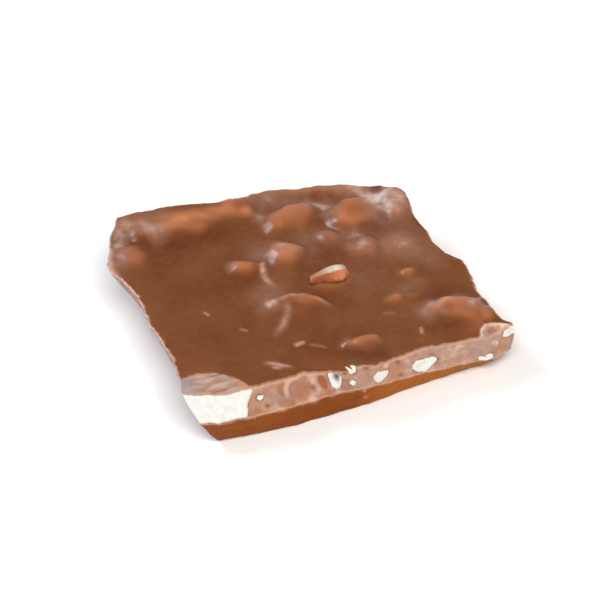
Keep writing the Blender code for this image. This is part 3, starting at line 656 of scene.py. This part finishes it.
def side_relief(points, places, depths):
    """Flakes, grain, sockets and the shell mark, as a distance out of the side."""
    upper = plateau(depths, 0.0, 0.08, 0.94, 1.0)
    lower = smoothstep(1.0, 1.1, depths)
    flakes = sum(depth * (cells_at(points, size) - 0.5) for size, depth in FLAKES)
    streaks = uneven(points * STREAK_STRETCH, LOWER_STREAKS) + uneven(points, LOWER_SWELLS)
    relief = (flakes + uneven(points, BREAK_GRAIN)) * upper + streaks * lower
    for nut in all_side_nuts():
        inside = 1 - smoothstep(0.82, 1.02, nut_reach(nut, places, depths))
        relief = relief * (1 - inside) - SOCKET_DEPTH * inside
    across, down = corner_nut_shares(places, depths)
    inside = plateau(across, 0, 0.05, 0.95, 1) * plateau(down, 0, 0.06, 0.95, 1)
    from_corner = smoothstep(0.0, 0.03, np.abs(np.mod(places + 2, 4) - 2))
    socket = SOCKET_DEPTH * (SOCKET_AT_CORNER + (1 - SOCKET_AT_CORNER) * from_corner)
    relief = relief * (1 - inside) - socket * inside
    away = np.hypot(*shell_offsets(places, depths))
    bowl = 1 - smoothstep(0.2, 1.0, away / SHELL_RADIUS)
    ripple = np.cos(math.tau * away / SHELL_PITCH) * (away < SHELL_RADIUS)
    relief += (SHELL_RIPPLE * ripple - SHELL_HOLLOW * bowl) * upper
    relief += sum(mark.relief * shape for mark, shape in mark_shapes(places, depths))
    draw_in = smoothstep(1.88, 2.0, depths)
    return relief - FOOT_ROUND * draw_in * draw_in


def normals_of(grid):
    """Unit normals of a grid of points, shape rows by columns by 3."""
    down = np.gradient(grid, axis=0)
    along = np.gradient(grid, axis=1)
    normals = np.cross(down, along)
    return normals / np.maximum(np.linalg.norm(normals, axis=2, keepdims=True), 1e-9)


def crowded(count):
    """Even steps from 0 to 1, drawn closer together at both ends."""
    steps = np.linspace(0, 1, count + 1)
    return steps - EDGE_CROWDING * np.sin(math.tau * steps) / math.tau


def top_grid(across, up):
    """Points of the top between its four broken edges, rows by columns by 3."""
    front, back = rim_points(across), rim_points(3 - across)
    right, left = rim_points(1 + up), rim_points(4 - up)
    u, v = across[None, :, None], up[:, None, None]
    corners = ((1 - u) * (1 - v) * front[0] + u * (1 - v) * front[-1]
               + u * v * back[-1] + (1 - u) * v * back[0])
    grid = front[None] * (1 - v) + back[None] * v + left[:, None] * (1 - u) + right[:, None] * u
    grid = grid - corners
    heights = top_height(grid[..., 0].ravel(), grid[..., 1].ravel()).reshape(grid.shape[:2])
    span = np.array((grid[0, -1, 0] - grid[0, 0, 0], grid[-1, 0, 1] - grid[0, 0, 1]))
    inset = np.minimum(np.minimum(u, 1 - u)[..., 0] * span[0], np.minimum(v, 1 - v)[..., 0] * span[1])
    grid[..., 2] = heights - RIM_ROUND * np.clip(1 - inset / RIM_ROUND_WIDTH, 0, 1) ** 2
    return grid, inset


def quad_faces(rows, columns, index_of=None):
    """Faces between neighbouring points of a grid, numbered row by row or by a function."""
    index_of = index_of or (lambda row, column: row * (columns + 1) + column)
    return [(index_of(row, column), index_of(row, column + 1),
             index_of(row + 1, column + 1), index_of(row + 1, column))
            for row in range(rows) for column in range(columns)]


def border(rows, columns):
    """Numbers of a grid's outer points, going round it from the first one."""
    points = [(0, column) for column in range(columns)]
    points += [(row, columns) for row in range(rows)]
    points += [(rows, column) for column in range(columns, 0, -1)]
    points += [(row, 0) for row in range(rows, 0, -1)]
    return [row * (columns + 1) + column for row, column in points]


def add_piece(name, points, faces, materials, weights, smooth_angle=60):
    """A shown object from points in millimetres, with the painted weights that its materials read."""
    data = bpy.data.meshes.new(name)
    data.from_pydata([tuple(point) for point in np.asarray(points) * MM], [], faces)
    data.validate()
    data.shade_smooth()
    data.set_sharp_from_angle(angle=math.radians(smooth_angle))
    for material in materials:
        data.materials.append(material)
    for weight, values in weights.items():
        layer = data.attributes.new(weight, "FLOAT", "POINT")
        layer.data.foreach_set("value", np.asarray(values, np.float32))
    item = bpy.data.objects.new(name, data)
    bpy.context.scene.collection.objects.link(item)
    return item


def side_grid(places, depths):
    """Points of the broken sides with their relief, rows down by columns round by 3."""
    flat_places, flat_depths = places.ravel(), depths.ravel()
    side = side_surface(flat_places, flat_depths)
    relief = side_relief(side, flat_places, flat_depths).reshape(places.shape)
    side = side.reshape(*places.shape, 3)
    looped = np.concatenate([side[:, -1:], side, side[:, :1]], axis=1)
    side = side + normals_of(looped)[:, 1:-1] * relief[..., None]
    side[-1, :, 2] = 0.0
    return side


def build_slab(materials):
    """The whole chocolate slab: its top, broken sides and flat bottom in one mesh."""
    across, up = crowded(TOP_COLUMNS), crowded(TOP_ROWS)
    top, inset = top_grid(across, up)
    round_it = np.concatenate([across[:-1], 1 + up[:-1], 3 - across[:0:-1], 4 - up[:0:-1]])
    down_it = np.concatenate([np.linspace(0, 1, UPPER_ROWS + 1), np.linspace(1, 2, LOWER_ROWS + 1)[1:]])
    places, depths = np.meshgrid(round_it, down_it)
    top = top.reshape(-1, 3)
    below = side_grid(places, depths)[1:].reshape(-1, 3)
    points = np.concatenate([top, below, [[0.0, 0.0, 0.0]]])
    edge = border(TOP_ROWS, TOP_COLUMNS)
    around, last_row, middle = len(round_it), len(down_it) - 1, len(points) - 1

    def side_index(row, column):
        column %= around
        return edge[column] if row == 0 else len(top) + (row - 1) * around + column

    faces = quad_faces(TOP_ROWS, TOP_COLUMNS)
    slots = [SLAB_TOP] * len(faces)
    faces += [face[::-1] for face in quad_faces(last_row, around, side_index)]
    slots += [UPPER_BAND] * UPPER_ROWS * around + [LOWER_BAND] * LOWER_ROWS * around
    faces += [(side_index(last_row, column + 1), side_index(last_row, column), middle)
              for column in range(around)]
    slots += [UNDERSIDE] * around

    beside = side_weights(below, places[1:].ravel(), depths[1:].ravel())
    weights = {name: np.concatenate([above, beside.get(name, np.zeros(len(below))), [0.0]])
               for name, above in top_weights(top, inset.ravel()).items()}
    slab = add_piece("milk_chocolate_slab", points, faces, materials, weights, smooth_angle=50)
    slab.data.polygons.foreach_set("material_index", np.array(slots, np.int32))
    return slab


def top_weights(top, inset):
    """The top's broken rim, coats, pale folds, tones and chipped corner, with painted highlights on rim,
    folds and threads and painted light and shade in the tones.
    """
    x, y = top[:, 0], top[:, 1]
    plan = np.column_stack([x, y, np.zeros_like(x)])
    ragged, cloudy = uneven(plan, RAGGED), uneven(plan, CLOUDY)
    coat = coat_over_corner_nut(x, y, ragged)
    # pale: painted highlights and sheen along the folds and threads
    pale = sum(each.pale * fold_shape(x, y, each) for each in FOLDS) * (0.9 + 0.8 * cloudy)
    threads = sum(each.pale * thread_shape(x, y, each) for each in THREADS)
    pale += threads * (0.9 + 0.5 * ragged + 0.6 * cloudy)
    tone = sum(tone * bell(np.hypot(x - cx, y - cy) / reach) for cx, cy, reach, tone in TONES_AND_PAINTED_LIGHT)
    away_from_scoop = np.hypot(x - SCOOP_X, y - SCOOP_Y) - SCOOP_RADIUS + 0.5 * ragged
    scooped = 1 - smoothstep(-0.2, 0.25, away_from_scoop)
    lip = bell((away_from_scoop + 0.1) / 0.45)
    hollow = bell(np.hypot(x - SCOOP_HOLLOW[0], y - SCOOP_HOLLOW[1]) / SCOOP_HOLLOW[2])
    weights = {
        # edge: a painted highlight along the broken rim
        "edge": (1 - smoothstep(0.1, 0.75, inset + 0.35 * ragged)) * (1 - 0.8 * coat),
        "coat": coat,
        "pale": np.clip(pale, 0, 1),
        # tone: painted sheen and glints above 0, painted shade below 0, with some slow tone changes
        "tone": tone * (1 + 0.5 * cloudy + 0.25 * ragged),
        # lift: painted shade in hollows and at the feet of lumps, and the thin coat with a painted
        # highlight on rises and along the crest
        "lift_shading": top_lift(x, y, top[:, 2]) + CREST_HIGHLIGHT.pale * fold_shape(x, y, CREST_HIGHLIGHT) * (0.85 + 0.5 * cloudy),
        "bare": np.maximum(scooped, lip),
        "shade": (0.6 * ragged - 0.5 * hollow) * scooped + 0.9 * lip,
    }
    for name, (low, high) in COAT_ENDS.items():
        weights[name] = 0.8 * smoothstep(0, 1, (x - low) / (high - low) + 0.3 * ragged)
    return weights


def top_lift(x, y, heights):
    """How far the top stands over its surroundings, with more weight behind and at the right front. It
    paints shade into hollows and highlights on rises, and the weight behind paints a sheen.
    """
    grid = heights.reshape(TOP_ROWS + 1, TOP_COLUMNS + 1)
    lift_shading = (blurred(grid, LIFT_NEAR) - blurred(grid, LIFT_FAR)).ravel()
    right_front = smoothstep(8, 20, x) * (1 - smoothstep(-2, 4, y))
    return lift_shading * (1 + 0.3 * smoothstep(12, 32, y) + 0.6 * right_front)


def side_weights(side, places, depths):
    """The pale edges of the broken sides, a painted highlight with pale chips along rim and ridge, the
    shell mark's arc, the marks and the warm places.
    """
    ragged = 0.05 * uneven(side, SIDE_RAGGED)
    near_rim = 1 - smoothstep(0.02, 0.10, depths + ragged)
    near_ridge = 0.7 - 0.7 * smoothstep(0.02, 0.08, np.abs(depths - 1.0) + ragged)
    return {
        # edge: a painted highlight along the rim and the ridge, with their pale chips
        "edge": np.maximum(near_rim, near_ridge),
        "pale": shell_arc(places, depths),
        "shade": sum(mark.shade * shape for mark, shape in mark_shapes(places, depths)),
        "bare": warm_places(places, depths),
    }


def blurred(heights, reach):
    """Heights averaged over a square of neighbours, twice."""
    kernel = np.ones(2 * reach + 1) / (2 * reach + 1)
    for axis in (0, 1, 0, 1):
        padding = [(reach, reach) if side == axis else (0, 0) for side in (0, 1)]
        heights = np.apply_along_axis(np.convolve, axis, np.pad(heights, padding, "edge"), kernel, "valid")
    return heights


def coat_over_corner_nut(x, y, ragged):
    """1 on the thin coat that slopes down over the corner nut, 0 elsewhere on the top."""
    crest = np.interp(x, *np.array(COAT_CREST).T)
    return smoothstep(-0.3, 0.5, crest - y + 0.4 * ragged) * (1 - smoothstep(-25.2, -24.2, x))


def warm_places(places, depths):
    """How orange-brown the broken front is, up to 1 where a lost nut left a smooth wall."""
    warmth = np.zeros(len(places))
    for warm in WARM_PLACES:
        across, up = offsets(warm.place, warm.depth, places, depths)
        away = np.hypot(across / warm.half_width, up / warm.half_height)
        warmth = np.maximum(warmth, warm.strength * (1 - smoothstep(0.7, 1.15, away)))
    return warmth


def smooth_side(places, depths):
    """Points of the side without its relief, and the directions out of it there."""
    base = side_surface(places, depths)
    below = side_surface(places, depths + NUDGE) - base
    beside = side_surface(places + NUDGE, depths) - base
    normals = np.cross(below, beside)
    return base, normals / np.linalg.norm(normals, axis=1)[:, None]


def build_side_nut(nut, material):
    """A nut piece whose broken face follows the slab's side, closed behind."""
    angles = np.linspace(0, math.tau, NUT_STEPS, endpoint=False)
    reach = outline_reach(nut.outline, angles)
    reach = np.convolve(np.concatenate([reach[-2:], reach, reach[:2]]), NUT_SMOOTHING, "valid")
    rings = (np.arange(NUT_RINGS) + 1) / NUT_RINGS
    a = np.concatenate([[0.0], (rings[:, None] * reach * np.cos(angles)).ravel()])
    b = np.concatenate([[0.0], (rings[:, None] * reach * np.sin(angles)).ravel()])
    share = np.concatenate([[0.0], np.repeat(rings, NUT_STEPS)])
    along, down = side_scale(nut.place, nut.depth)
    base, normals = smooth_side(nut.place + a / along, nut.depth - b / down)
    hollow = hollow_shape(nut, a, b)
    height = NUT_PROUD + uneven(base, NUT_COARSE, NUT_FINE) * (1 - share ** 6)
    height -= (NUT_PROUD + NUT_TUCK) * share ** 8 + HOLLOW_DEPTH * hollow
    face = base + normals * height[:, None]
    rim = face[-NUT_STEPS:]
    back = rim.mean(axis=0) + (rim - rim.mean(axis=0)) * NUT_BACK - normals[0] * NUT_THICKNESS
    points = np.concatenate([face, back, [back.mean(axis=0)]])
    skin = smoothstep(0.84, 0.98, share + uneven(base, NUT_SKIN))
    skin = skin * (NUT_BIT_SKIN if nut in NUT_BITS else 1.0)
    behind = NUT_STEPS + 1
    weights = {"skin": np.concatenate([skin, np.full(behind, skin[-1])]),
               "hollow": np.concatenate([hollow, np.zeros(behind)])}
    faces = fan_and_rings(NUT_RINGS, NUT_STEPS)
    return add_piece(nut.node.replace("nut", "broken_nut"), points, faces, [material], weights)


def hollow_shape(nut, along, up):
    """1 in the dark hollow of a nut's broken face, falling to 0 round it."""
    if nut.node not in HOLLOWS:
        return np.zeros(len(along))
    x, y, half_width, half_height = HOLLOWS[nut.node]
    return bell((along - x) / half_width) * bell((up - y) / half_height)


def fan_and_rings(rings, steps):
    """Faces of a closed blob: a fan, its rings, a wall to the back ring and a fan behind."""
    def index(step, ring):
        return 1 + ring * steps + step % steps

    last = index(0, rings + 1)
    faces = [(0, index(step, 0), index(step + 1, 0)) for step in range(steps)]
    faces += quad_faces(steps, rings, index)
    return faces + [(index(step + 1, rings), index(step, rings), last) for step in range(steps)]


def build_corner_nut(material):
    """The broken face of the nut at the front left corner, closed behind."""
    rows, columns = CORNER_NUT_ROWS, CORNER_NUT_COLUMNS
    u, v = np.meshgrid(np.linspace(0, 1, columns + 1), np.linspace(0, 1, rows + 1))
    u, v = u.ravel(), v.ravel()
    depths = CORNER_NUT_DEPTHS[0] + (CORNER_NUT_DEPTHS[1] - CORNER_NUT_DEPTHS[0]) * v
    left, right = corner_nut_edges(v)
    right = right + CORNER_NUT_WAVE[0] * np.sin(v * CORNER_NUT_WAVE[1])
    places = left + (right - left) * u
    base, normals = smooth_side(places, depths)
    border_share = 2 * np.maximum(np.abs(u - 0.5), np.abs(v - 0.5))
    over_corner = 1 - smoothstep(0.0, 0.04, np.abs(places))
    swells = uneven(base, CORNER_NUT_COARSE, CORNER_NUT_MEDIUM, CORNER_NUT_FINE)
    swells = swells * (1 - over_corner) + 0.1 * over_corner
    height = NUT_PROUD + swells * (1 - border_share ** 6) - (NUT_PROUD + NUT_TUCK) * border_share ** 14
    face = base + normals * height[:, None]
    inside = face.mean(axis=0) - normals.mean(axis=0) * CORNER_NUT_THICKNESS
    points = np.concatenate([face, face + (inside - face) * CORNER_NUT_BACK])
    count = len(face)
    faces = [quad[::-1] for quad in quad_faces(rows, columns)]
    faces += [tuple(index + count for index in quad[::-1]) for quad in faces]
    loop = border(rows, columns)
    faces += [(a, b, b + count, a + count) for a, b in zip(loop, loop[1:] + loop[:1])]
    skin = smoothstep(0.90, 1.0, border_share + uneven(base, CORNER_NUT_SKIN))
    weights = {"skin": np.concatenate([skin, np.ones(count)]), "hollow": np.zeros(2 * count)}
    return add_piece("broken_nut_corner", points, faces, [material], weights)


def top_nut_point(unit):
    """A point of the unit ball as one of the nut, how far coated it is, and how far right."""
    boxy = sum(abs(axis) ** 4 for axis in unit) ** -0.25
    swell = 1 + 0.10 * noise.noise(unit * 1.6 + Vector(TOP_NUT_SHIFT)) + 0.04 * noise.noise(unit * 4)
    local = unit * (0.3 + 0.7 * boxy) * swell
    local.z = min(local.z, 1 - TOP_NUT_SLOPE * max(0.0, TOP_NUT_CREST - local.y))
    ragged = 0.12 * noise.noise(unit * 3) + 0.06 * noise.noise(unit * 9)
    bare = smoothstep(TOP_NUT_CREST - 0.12, TOP_NUT_CREST + 0.08, local.y + ragged)
    bare *= smoothstep(0.3, 0.6, unit.z + ragged) * (0.5 + 0.5 * smoothstep(-0.9, 0.1, local.x))
    taper = TOP_NUT_TAPER + (1 - TOP_NUT_TAPER) * smoothstep(-1.0, 0.5, unit.x)
    length, depth, height = TOP_NUT_HALF_SIZES
    place = Vector((local.x * length, local.y * depth * taper, local.z * height * taper))
    return place, 1 - bare, smoothstep(-0.7, 0.6, local.x + ragged)


def build_top_nut(material):
    """The bare nut on the top: a boxy wedge with a pale upper face and a coated front."""
    shape = bmesh.new()
    bmesh.ops.create_icosphere(shape, subdivisions=5, radius=1.0)
    faces = [tuple(vertex.index for vertex in face.verts) for face in shape.faces]
    units = [vertex.co.copy() for vertex in shape.verts]
    shape.free()
    turn = Matrix.Translation(Vector(TOP_NUT_MIDDLE))
    for angle, axis in zip(TOP_NUT_TURN, "XYZ"):
        turn = turn @ Matrix.Rotation(math.radians(angle), 4, axis)
    places, coated, rightward = zip(*[top_nut_point(unit) for unit in units])
    points = [tuple(turn @ place) for place in places]
    x, y, z = np.array(points).T
    above = z - top_height(x, y) + uneven(points, TOP_NUT_SINK)
    weights = {"coated": coated, "rightward": rightward, "sunk": 1 - smoothstep(0.1, 1.1, above)}
    return add_piece("bare_nut_top", points, faces, [material], weights)


def linear(level):
    """A displayed level, 0 to 255, as the share of light that it stands for."""
    share = level / 255
    return share / 12.92 if share <= 0.04045 else ((share + 0.055) / 1.055) ** 2.4


def colour(*levels):
    """A displayed colour, 0 to 255, as a linear one with alpha."""
    return (*[linear(level) for level in levels], 1.0)


class Look:
    """A material. Each method adds a node to it and gives back the node's result."""

    def __init__(self, name):
        self.material = bpy.data.materials.new(name)
        self.material.use_nodes = True
        self.tree = self.material.node_tree
        self.shader = self.tree.nodes["Principled BSDF"]
        self.source = self.tree.nodes.new("ShaderNodeTexCoord").outputs["Object"]
        self.place = self.stretched((1, 1, 1))

    def fill(self, socket, value):
        """Link an input to another node's result, or set it to a fixed value."""
        if isinstance(value, bpy.types.NodeSocket):
            self.tree.links.new(value, socket)
        else:
            socket.default_value = value

    def stretched(self, stretch):
        """Object coordinates, stretched along the axes."""
        mapping = self.tree.nodes.new("ShaderNodeMapping")
        self.fill(mapping.inputs["Scale"], stretch)
        self.fill(mapping.inputs["Vector"], self.source)
        return mapping.outputs["Vector"]

    def noise(self, size_mm, detail=3.0, roughness=0.55, place=None):
        node = self.tree.nodes.new("ShaderNodeTexNoise")
        self.fill(node.inputs["Scale"], 1 / (size_mm * MM))
        self.fill(node.inputs["Detail"], detail)
        self.fill(node.inputs["Roughness"], roughness)
        self.fill(node.inputs["Vector"], place or self.place)
        return node.outputs["Fac"]

    def ramp(self, value, *stops):
        """Map a value through (position, colour or level) stops."""
        node = self.tree.nodes.new("ShaderNodeValToRGB")
        elements = node.color_ramp.elements
        while len(elements) < len(stops):
            elements.new(0.5)
        for element, (position, shade) in zip(elements, stops):
            element.position = position
            element.color = shade if isinstance(shade, tuple) else (shade, shade, shade, 1.0)
        self.fill(node.inputs["Fac"], value)
        return node.outputs["Color"]

    def calculate(self, operation, *values):
        """The result of a sum, held between 0 and 1."""
        node = self.tree.nodes.new("ShaderNodeMath")
        node.operation = operation
        node.use_clamp = True
        for socket, value in zip(node.inputs, values):
            self.fill(socket, value)
        return node.outputs[0]

    def weight(self, name, factor=1.0, start=0.0):
        """A painted weight, multiplied and held between 0 and 1."""
        node = self.tree.nodes.new("ShaderNodeAttribute")
        node.attribute_name = name
        return self.calculate("MULTIPLY_ADD", node.outputs["Fac"], factor, start)

    def layers(self, base, *layers):
        """A colour with others laid over it in turn, each by its own weight."""
        for weight, shade in layers:
            node = self.tree.nodes.new("ShaderNodeMix")
            node.data_type = "RGBA"
            factor, lower, upper = (node.inputs[number] for number in (0, 6, 7))
            self.fill(factor, weight)
            self.fill(lower, base)
            self.fill(upper, shade)
            base = node.outputs[2]
        return base

    def bump(self, *layers):
        """Stack bumps of (height, depth in millimetres) under the shader's normal."""
        normal = None
        for height, depth in layers:
            node = self.tree.nodes.new("ShaderNodeBump")
            self.fill(node.inputs["Strength"], 1.0)
            self.fill(node.inputs["Distance"], depth * MM)
            self.fill(node.inputs["Height"], height)
            if normal:
                self.fill(node.inputs["Normal"], normal)
            normal = node.outputs["Normal"]
        self.fill(self.shader.inputs["Normal"], normal)

    def surface(self, base, roughness, specular=0.5):
        self.fill(self.shader.inputs["Base Color"], base)
        self.fill(self.shader.inputs["Roughness"], roughness)
        self.fill(self.shader.inputs["Specular IOR Level"], specular)


def top_material():
    """The poured top: satin milk chocolate, paler where it lies thin over nuts, with painted shade in
    hollows and painted sheen, glints and highlights.
    """
    look = Look("poured_milk_chocolate")
    streaks = look.noise(1.6, 4.0, place=look.stretched((0.35, 1.5, 1)))
    # the thin coat over the pale nut, partly a painted sheen, greyer at its left end as a painted sheen
    coat = look.layers(
        look.ramp(streaks, (0.35, colour(140, 100, 82)), (0.65, colour(184, 152, 136))),
        (look.weight("coat_end"), colour(196, 132, 98)),
        # greyer toward the left end: a painted sheen
        (look.weight("coat_painted_sheen"), colour(150, 140, 142)))
    # the tone above 0: a painted sheen, glare and glints
    painted_sheen = look.weight("tone")
    base = look.layers(
        # by lift: painted shade in hollows and at lump feet, the paler thin coat with a painted highlight
        # on rises
        look.ramp(look.weight("lift_shading", 0.33, 0.5), (0.26, colour(92, 38, 2)), (0.47, colour(106, 54, 14)),
                  (0.57, colour(120, 65, 30)), (0.74, colour(158, 92, 54)), (1.0, colour(196, 122, 82))),
        (look.ramp(look.noise(14.0), (0.4, 0.0), (0.65, 0.45)), colour(130, 79, 46)),
        (look.ramp(look.noise(1.6, 4.0), (0.45, 0.0), (0.75, 0.25)), colour(138, 86, 52)),
        # painted shade where the tone is below 0, then the painted sheen where it is above 0
        (look.weight("tone", -1.0), colour(84, 38, 8)),
        (painted_sheen, look.ramp(painted_sheen, (0.4, colour(160, 119, 100)), (0.9, colour(206, 181, 170)))),
        # painted highlights and sheen along folds and threads
        (look.weight("pale"), colour(190, 146, 124)),
        (look.weight("coat"), coat),
        (look.weight("bare"), broken_colour(look)),
        # painted highlight along the rim
        (look.weight("edge", 0.65), colour(200, 152, 128)))
    rough = look.ramp(look.noise(5.0), (0.3, 0.30), (0.7, 0.38))
    look.surface(base, look.layers(rough, (look.weight("bare"), (0.7, 0.7, 0.7, 1.0))), 0.45)
    look.bump((look.noise(2.6, 2.0, 0.4), 0.04))
    return look.material


def broken_colour(look):
    """The pale, mottled colour of broken milk chocolate, with its pits and chips."""
    mauve = look.noise(7.5, 1.0, place=look.stretched((1, 1, 1.1)))
    return look.layers(
        look.ramp(look.noise(1.8, 4.0, 0.6), (0.32, colour(168, 124, 104)), (0.55, colour(188, 148, 128)),
                  (0.75, colour(208, 174, 156))),
        (look.ramp(look.noise(6.0, 2.0), (0.45, 0.0), (0.66, 0.8)), colour(178, 124, 96)),
        (look.ramp(mauve, (0.5, 0.0), (0.62, 0.5)), colour(170, 142, 134)),
        (look.weight("shade", -1.0), colour(96, 52, 34)),
        (look.weight("shade"), colour(226, 190, 170)))


def fracture_material():
    """The upper band of the break: pale, dull and grainy."""
    look = Look("broken_chocolate")
    base = look.layers(
        broken_colour(look),
        (look.weight("bare"), colour(154, 94, 58)),
        (look.weight("pale", 0.7), colour(222, 182, 160)),
        # painted highlight along the rim and the ridge
        (look.weight("edge", 0.6), colour(214, 172, 152)))
    look.surface(base, 0.72, 0.3)
    look.bump((look.noise(1.1, 5.0, 0.7), 0.22), (look.noise(0.35), 0.04))
    return look.material


def lower_material():
    """The lower band of the break: smoother, deeper brown, faintly streaked lengthwise."""
    look = Look("lower_broken_chocolate")
    split = look.tree.nodes.new("ShaderNodeSeparateXYZ")
    look.fill(split.inputs[0], look.place)
    rightward = look.calculate("MULTIPLY_ADD", split.outputs["X"], 1 / (FRONT_LENGTH * MM), 0.5)
    streaks = look.noise(1.4, 4.0, place=look.stretched((0.25, 0.25, 1.6)))
    base = look.layers(
        look.ramp(streaks, (0.32, colour(128, 65, 17)), (0.68, colour(147, 77, 25))),
        (look.ramp(look.noise(6.0), (0.4, 0.0), (0.7, 0.4)), colour(116, 58, 18)),
        (look.ramp(rightward, (0.28, 0.0), (0.36, 0.32), (0.50, 0.32), (0.57, 0.0)), colour(108, 52, 14)),
        (look.ramp(rightward, (0.51, 0.0), (0.60, 0.6), (0.8, 0.8)), colour(172, 101, 34)),
        (look.weight("shade", 0.8), colour(210, 160, 130)),
        # painted highlight along the ridge
        (look.weight("edge", 0.8), colour(196, 138, 102)))
    look.surface(base, 0.55, 0.15)
    look.bump((streaks, 0.05), (look.noise(0.45), 0.03))
    return look.material


def bottom_material():
    """The underside: smooth from the tray, with faint pocks."""
    look = Look("flat_milk_chocolate")
    base = look.ramp(look.noise(9.0), (0.35, colour(112, 66, 42)), (0.65, colour(128, 78, 52)))
    look.surface(base, look.ramp(look.noise(6.0), (0.3, 0.26), (0.7, 0.4)))
    look.bump((look.noise(1.2, 2.0), 0.05))
    return look.material


def nut_material():
    """Pale dry nut flesh with a line of brown skin at its edge."""
    look = Look("nut_flesh")
    flesh = look.ramp(look.noise(1.3, 4.0, 0.6), (0.3, colour(220, 216, 207)), (0.6, colour(230, 231, 228)))
    skin = look.ramp(look.noise(0.8), (0.35, colour(150, 92, 54)), (0.7, colour(206, 164, 128)))
    base = look.layers(flesh, (look.weight("skin"), skin), (look.weight("hollow"), colour(96, 74, 66)))
    look.surface(base, 0.6)
    look.fill(look.shader.inputs["Subsurface Weight"], 0.15)
    look.fill(look.shader.inputs["Subsurface Scale"], 0.8 * MM)
    look.bump((look.noise(0.9, 4.0), 0.07), (look.noise(0.3), 0.02))
    return look.material


def coated_nut_material():
    """The nut on the top: pale above and thinly coated with chocolate round its sides."""
    look = Look("half_coated_nut")
    rightward = look.weight("rightward")
    flesh = look.ramp(look.noise(1.6), (0.3, colour(180, 156, 138)), (0.7, colour(216, 204, 188)))
    coat = look.layers(
        look.ramp(look.noise(1.8), (0.3, colour(136, 70, 30)), (0.7, colour(168, 96, 52))),
        (look.calculate("POWER", rightward, 4.0), colour(192, 120, 78)))
    base = look.layers(
        colour(170, 122, 96),
        (rightward, flesh),
        (look.weight("coated"), coat),
        (look.weight("sunk"), colour(112, 60, 28)))
    look.surface(base, 0.45, 0.3)
    look.bump((look.noise(0.8), 0.08))
    return look.material


def floor_material():
    look = Look("pale_floor")
    tone = look.ramp(look.noise(60.0), (0.4, colour(244, 244, 244)), (0.6, colour(246, 246, 246)))
    look.surface(tone, 0.8, 0.1)
    return look.material


def build_floor():
    bpy.ops.mesh.primitive_plane_add(size=6.0, location=(0, 0, 0))
    floor = bpy.context.object
    floor.name = "floor"
    floor.data.materials.append(floor_material())


def aim(item, azimuth, elevation, distance, target=(0.0, 0.0, 0.0)):
    """Set a light or camera at a distance from a target, facing it: 0 is in front, 90 on the right."""
    a, e = math.radians(azimuth), math.radians(elevation)
    back = Vector((math.sin(a) * math.cos(e), -math.cos(a) * math.cos(e), math.sin(e)))
    item.location = (Vector(target) + back * distance) * MM
    item.rotation_euler = back.to_track_quat("Z", "Y").to_euler()
    bpy.context.scene.collection.objects.link(item)


def add_area_light(name, azimuth, elevation, distance, size, power, tint):
    """A square soft light aimed at the slab."""
    data = bpy.data.lights.new(name, "AREA")
    data.size = size * MM
    data.energy = power
    data.color = tint
    item = bpy.data.objects.new(name, data)
    aim(item, azimuth, elevation, distance)
    return item


def build_lights():
    world = bpy.data.worlds.new("white_room")
    bpy.context.scene.world = world
    world.use_nodes = True
    background = world.node_tree.nodes["Background"]
    background.inputs["Color"].default_value = (1.0, 1.0, 1.0, 1.0)
    background.inputs["Strength"].default_value = 0.26
    add_area_light("window", azimuth=-140, elevation=38, distance=900, size=350, power=4.8,
                   tint=(0.78, 0.88, 1.0))
    fill = add_area_light("front_fill", azimuth=-5, elevation=56, distance=1000, size=800, power=10.5,
                          tint=(1.0, 0.97, 0.92))
    fill.visible_glossy = False
    settings = bpy.context.scene.view_settings
    settings.view_transform = "Standard"
    settings.look = "None"
    settings.exposure = 0.0
    settings.gamma = 1.0


def build_camera():
    data = bpy.data.cameras.new("camera")
    data.lens = CAMERA_LENS
    data.sensor_width = 36.0
    data.clip_start = 0.01
    camera = bpy.data.objects.new("camera", data)
    aim(camera, CAMERA_AZIMUTH, CAMERA_ELEVATION, CAMERA_DISTANCE, CAMERA_TARGET)
    bpy.context.scene.camera = camera


def settle(piece, slot, *nodes):
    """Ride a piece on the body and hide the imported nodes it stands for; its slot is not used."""
    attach(piece, "root")
    if nodes:
        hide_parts(*nodes)


def build():
    build_camera()
    slab = build_slab([top_material(), fracture_material(), lower_material(), bottom_material()])
    settle(slab, "chocolate", "chocolate_slab")
    flesh = nut_material()
    for nut in all_side_nuts():
        node = [] if nut in NUT_BITS else [nut.node]
        settle(build_side_nut(nut, flesh), "nut", *node)
    settle(build_corner_nut(flesh), "nut", "nut_corner")
    settle(build_top_nut(coated_nut_material()), "nut", "nut_top")
    build_floor()
    build_lights()


build()
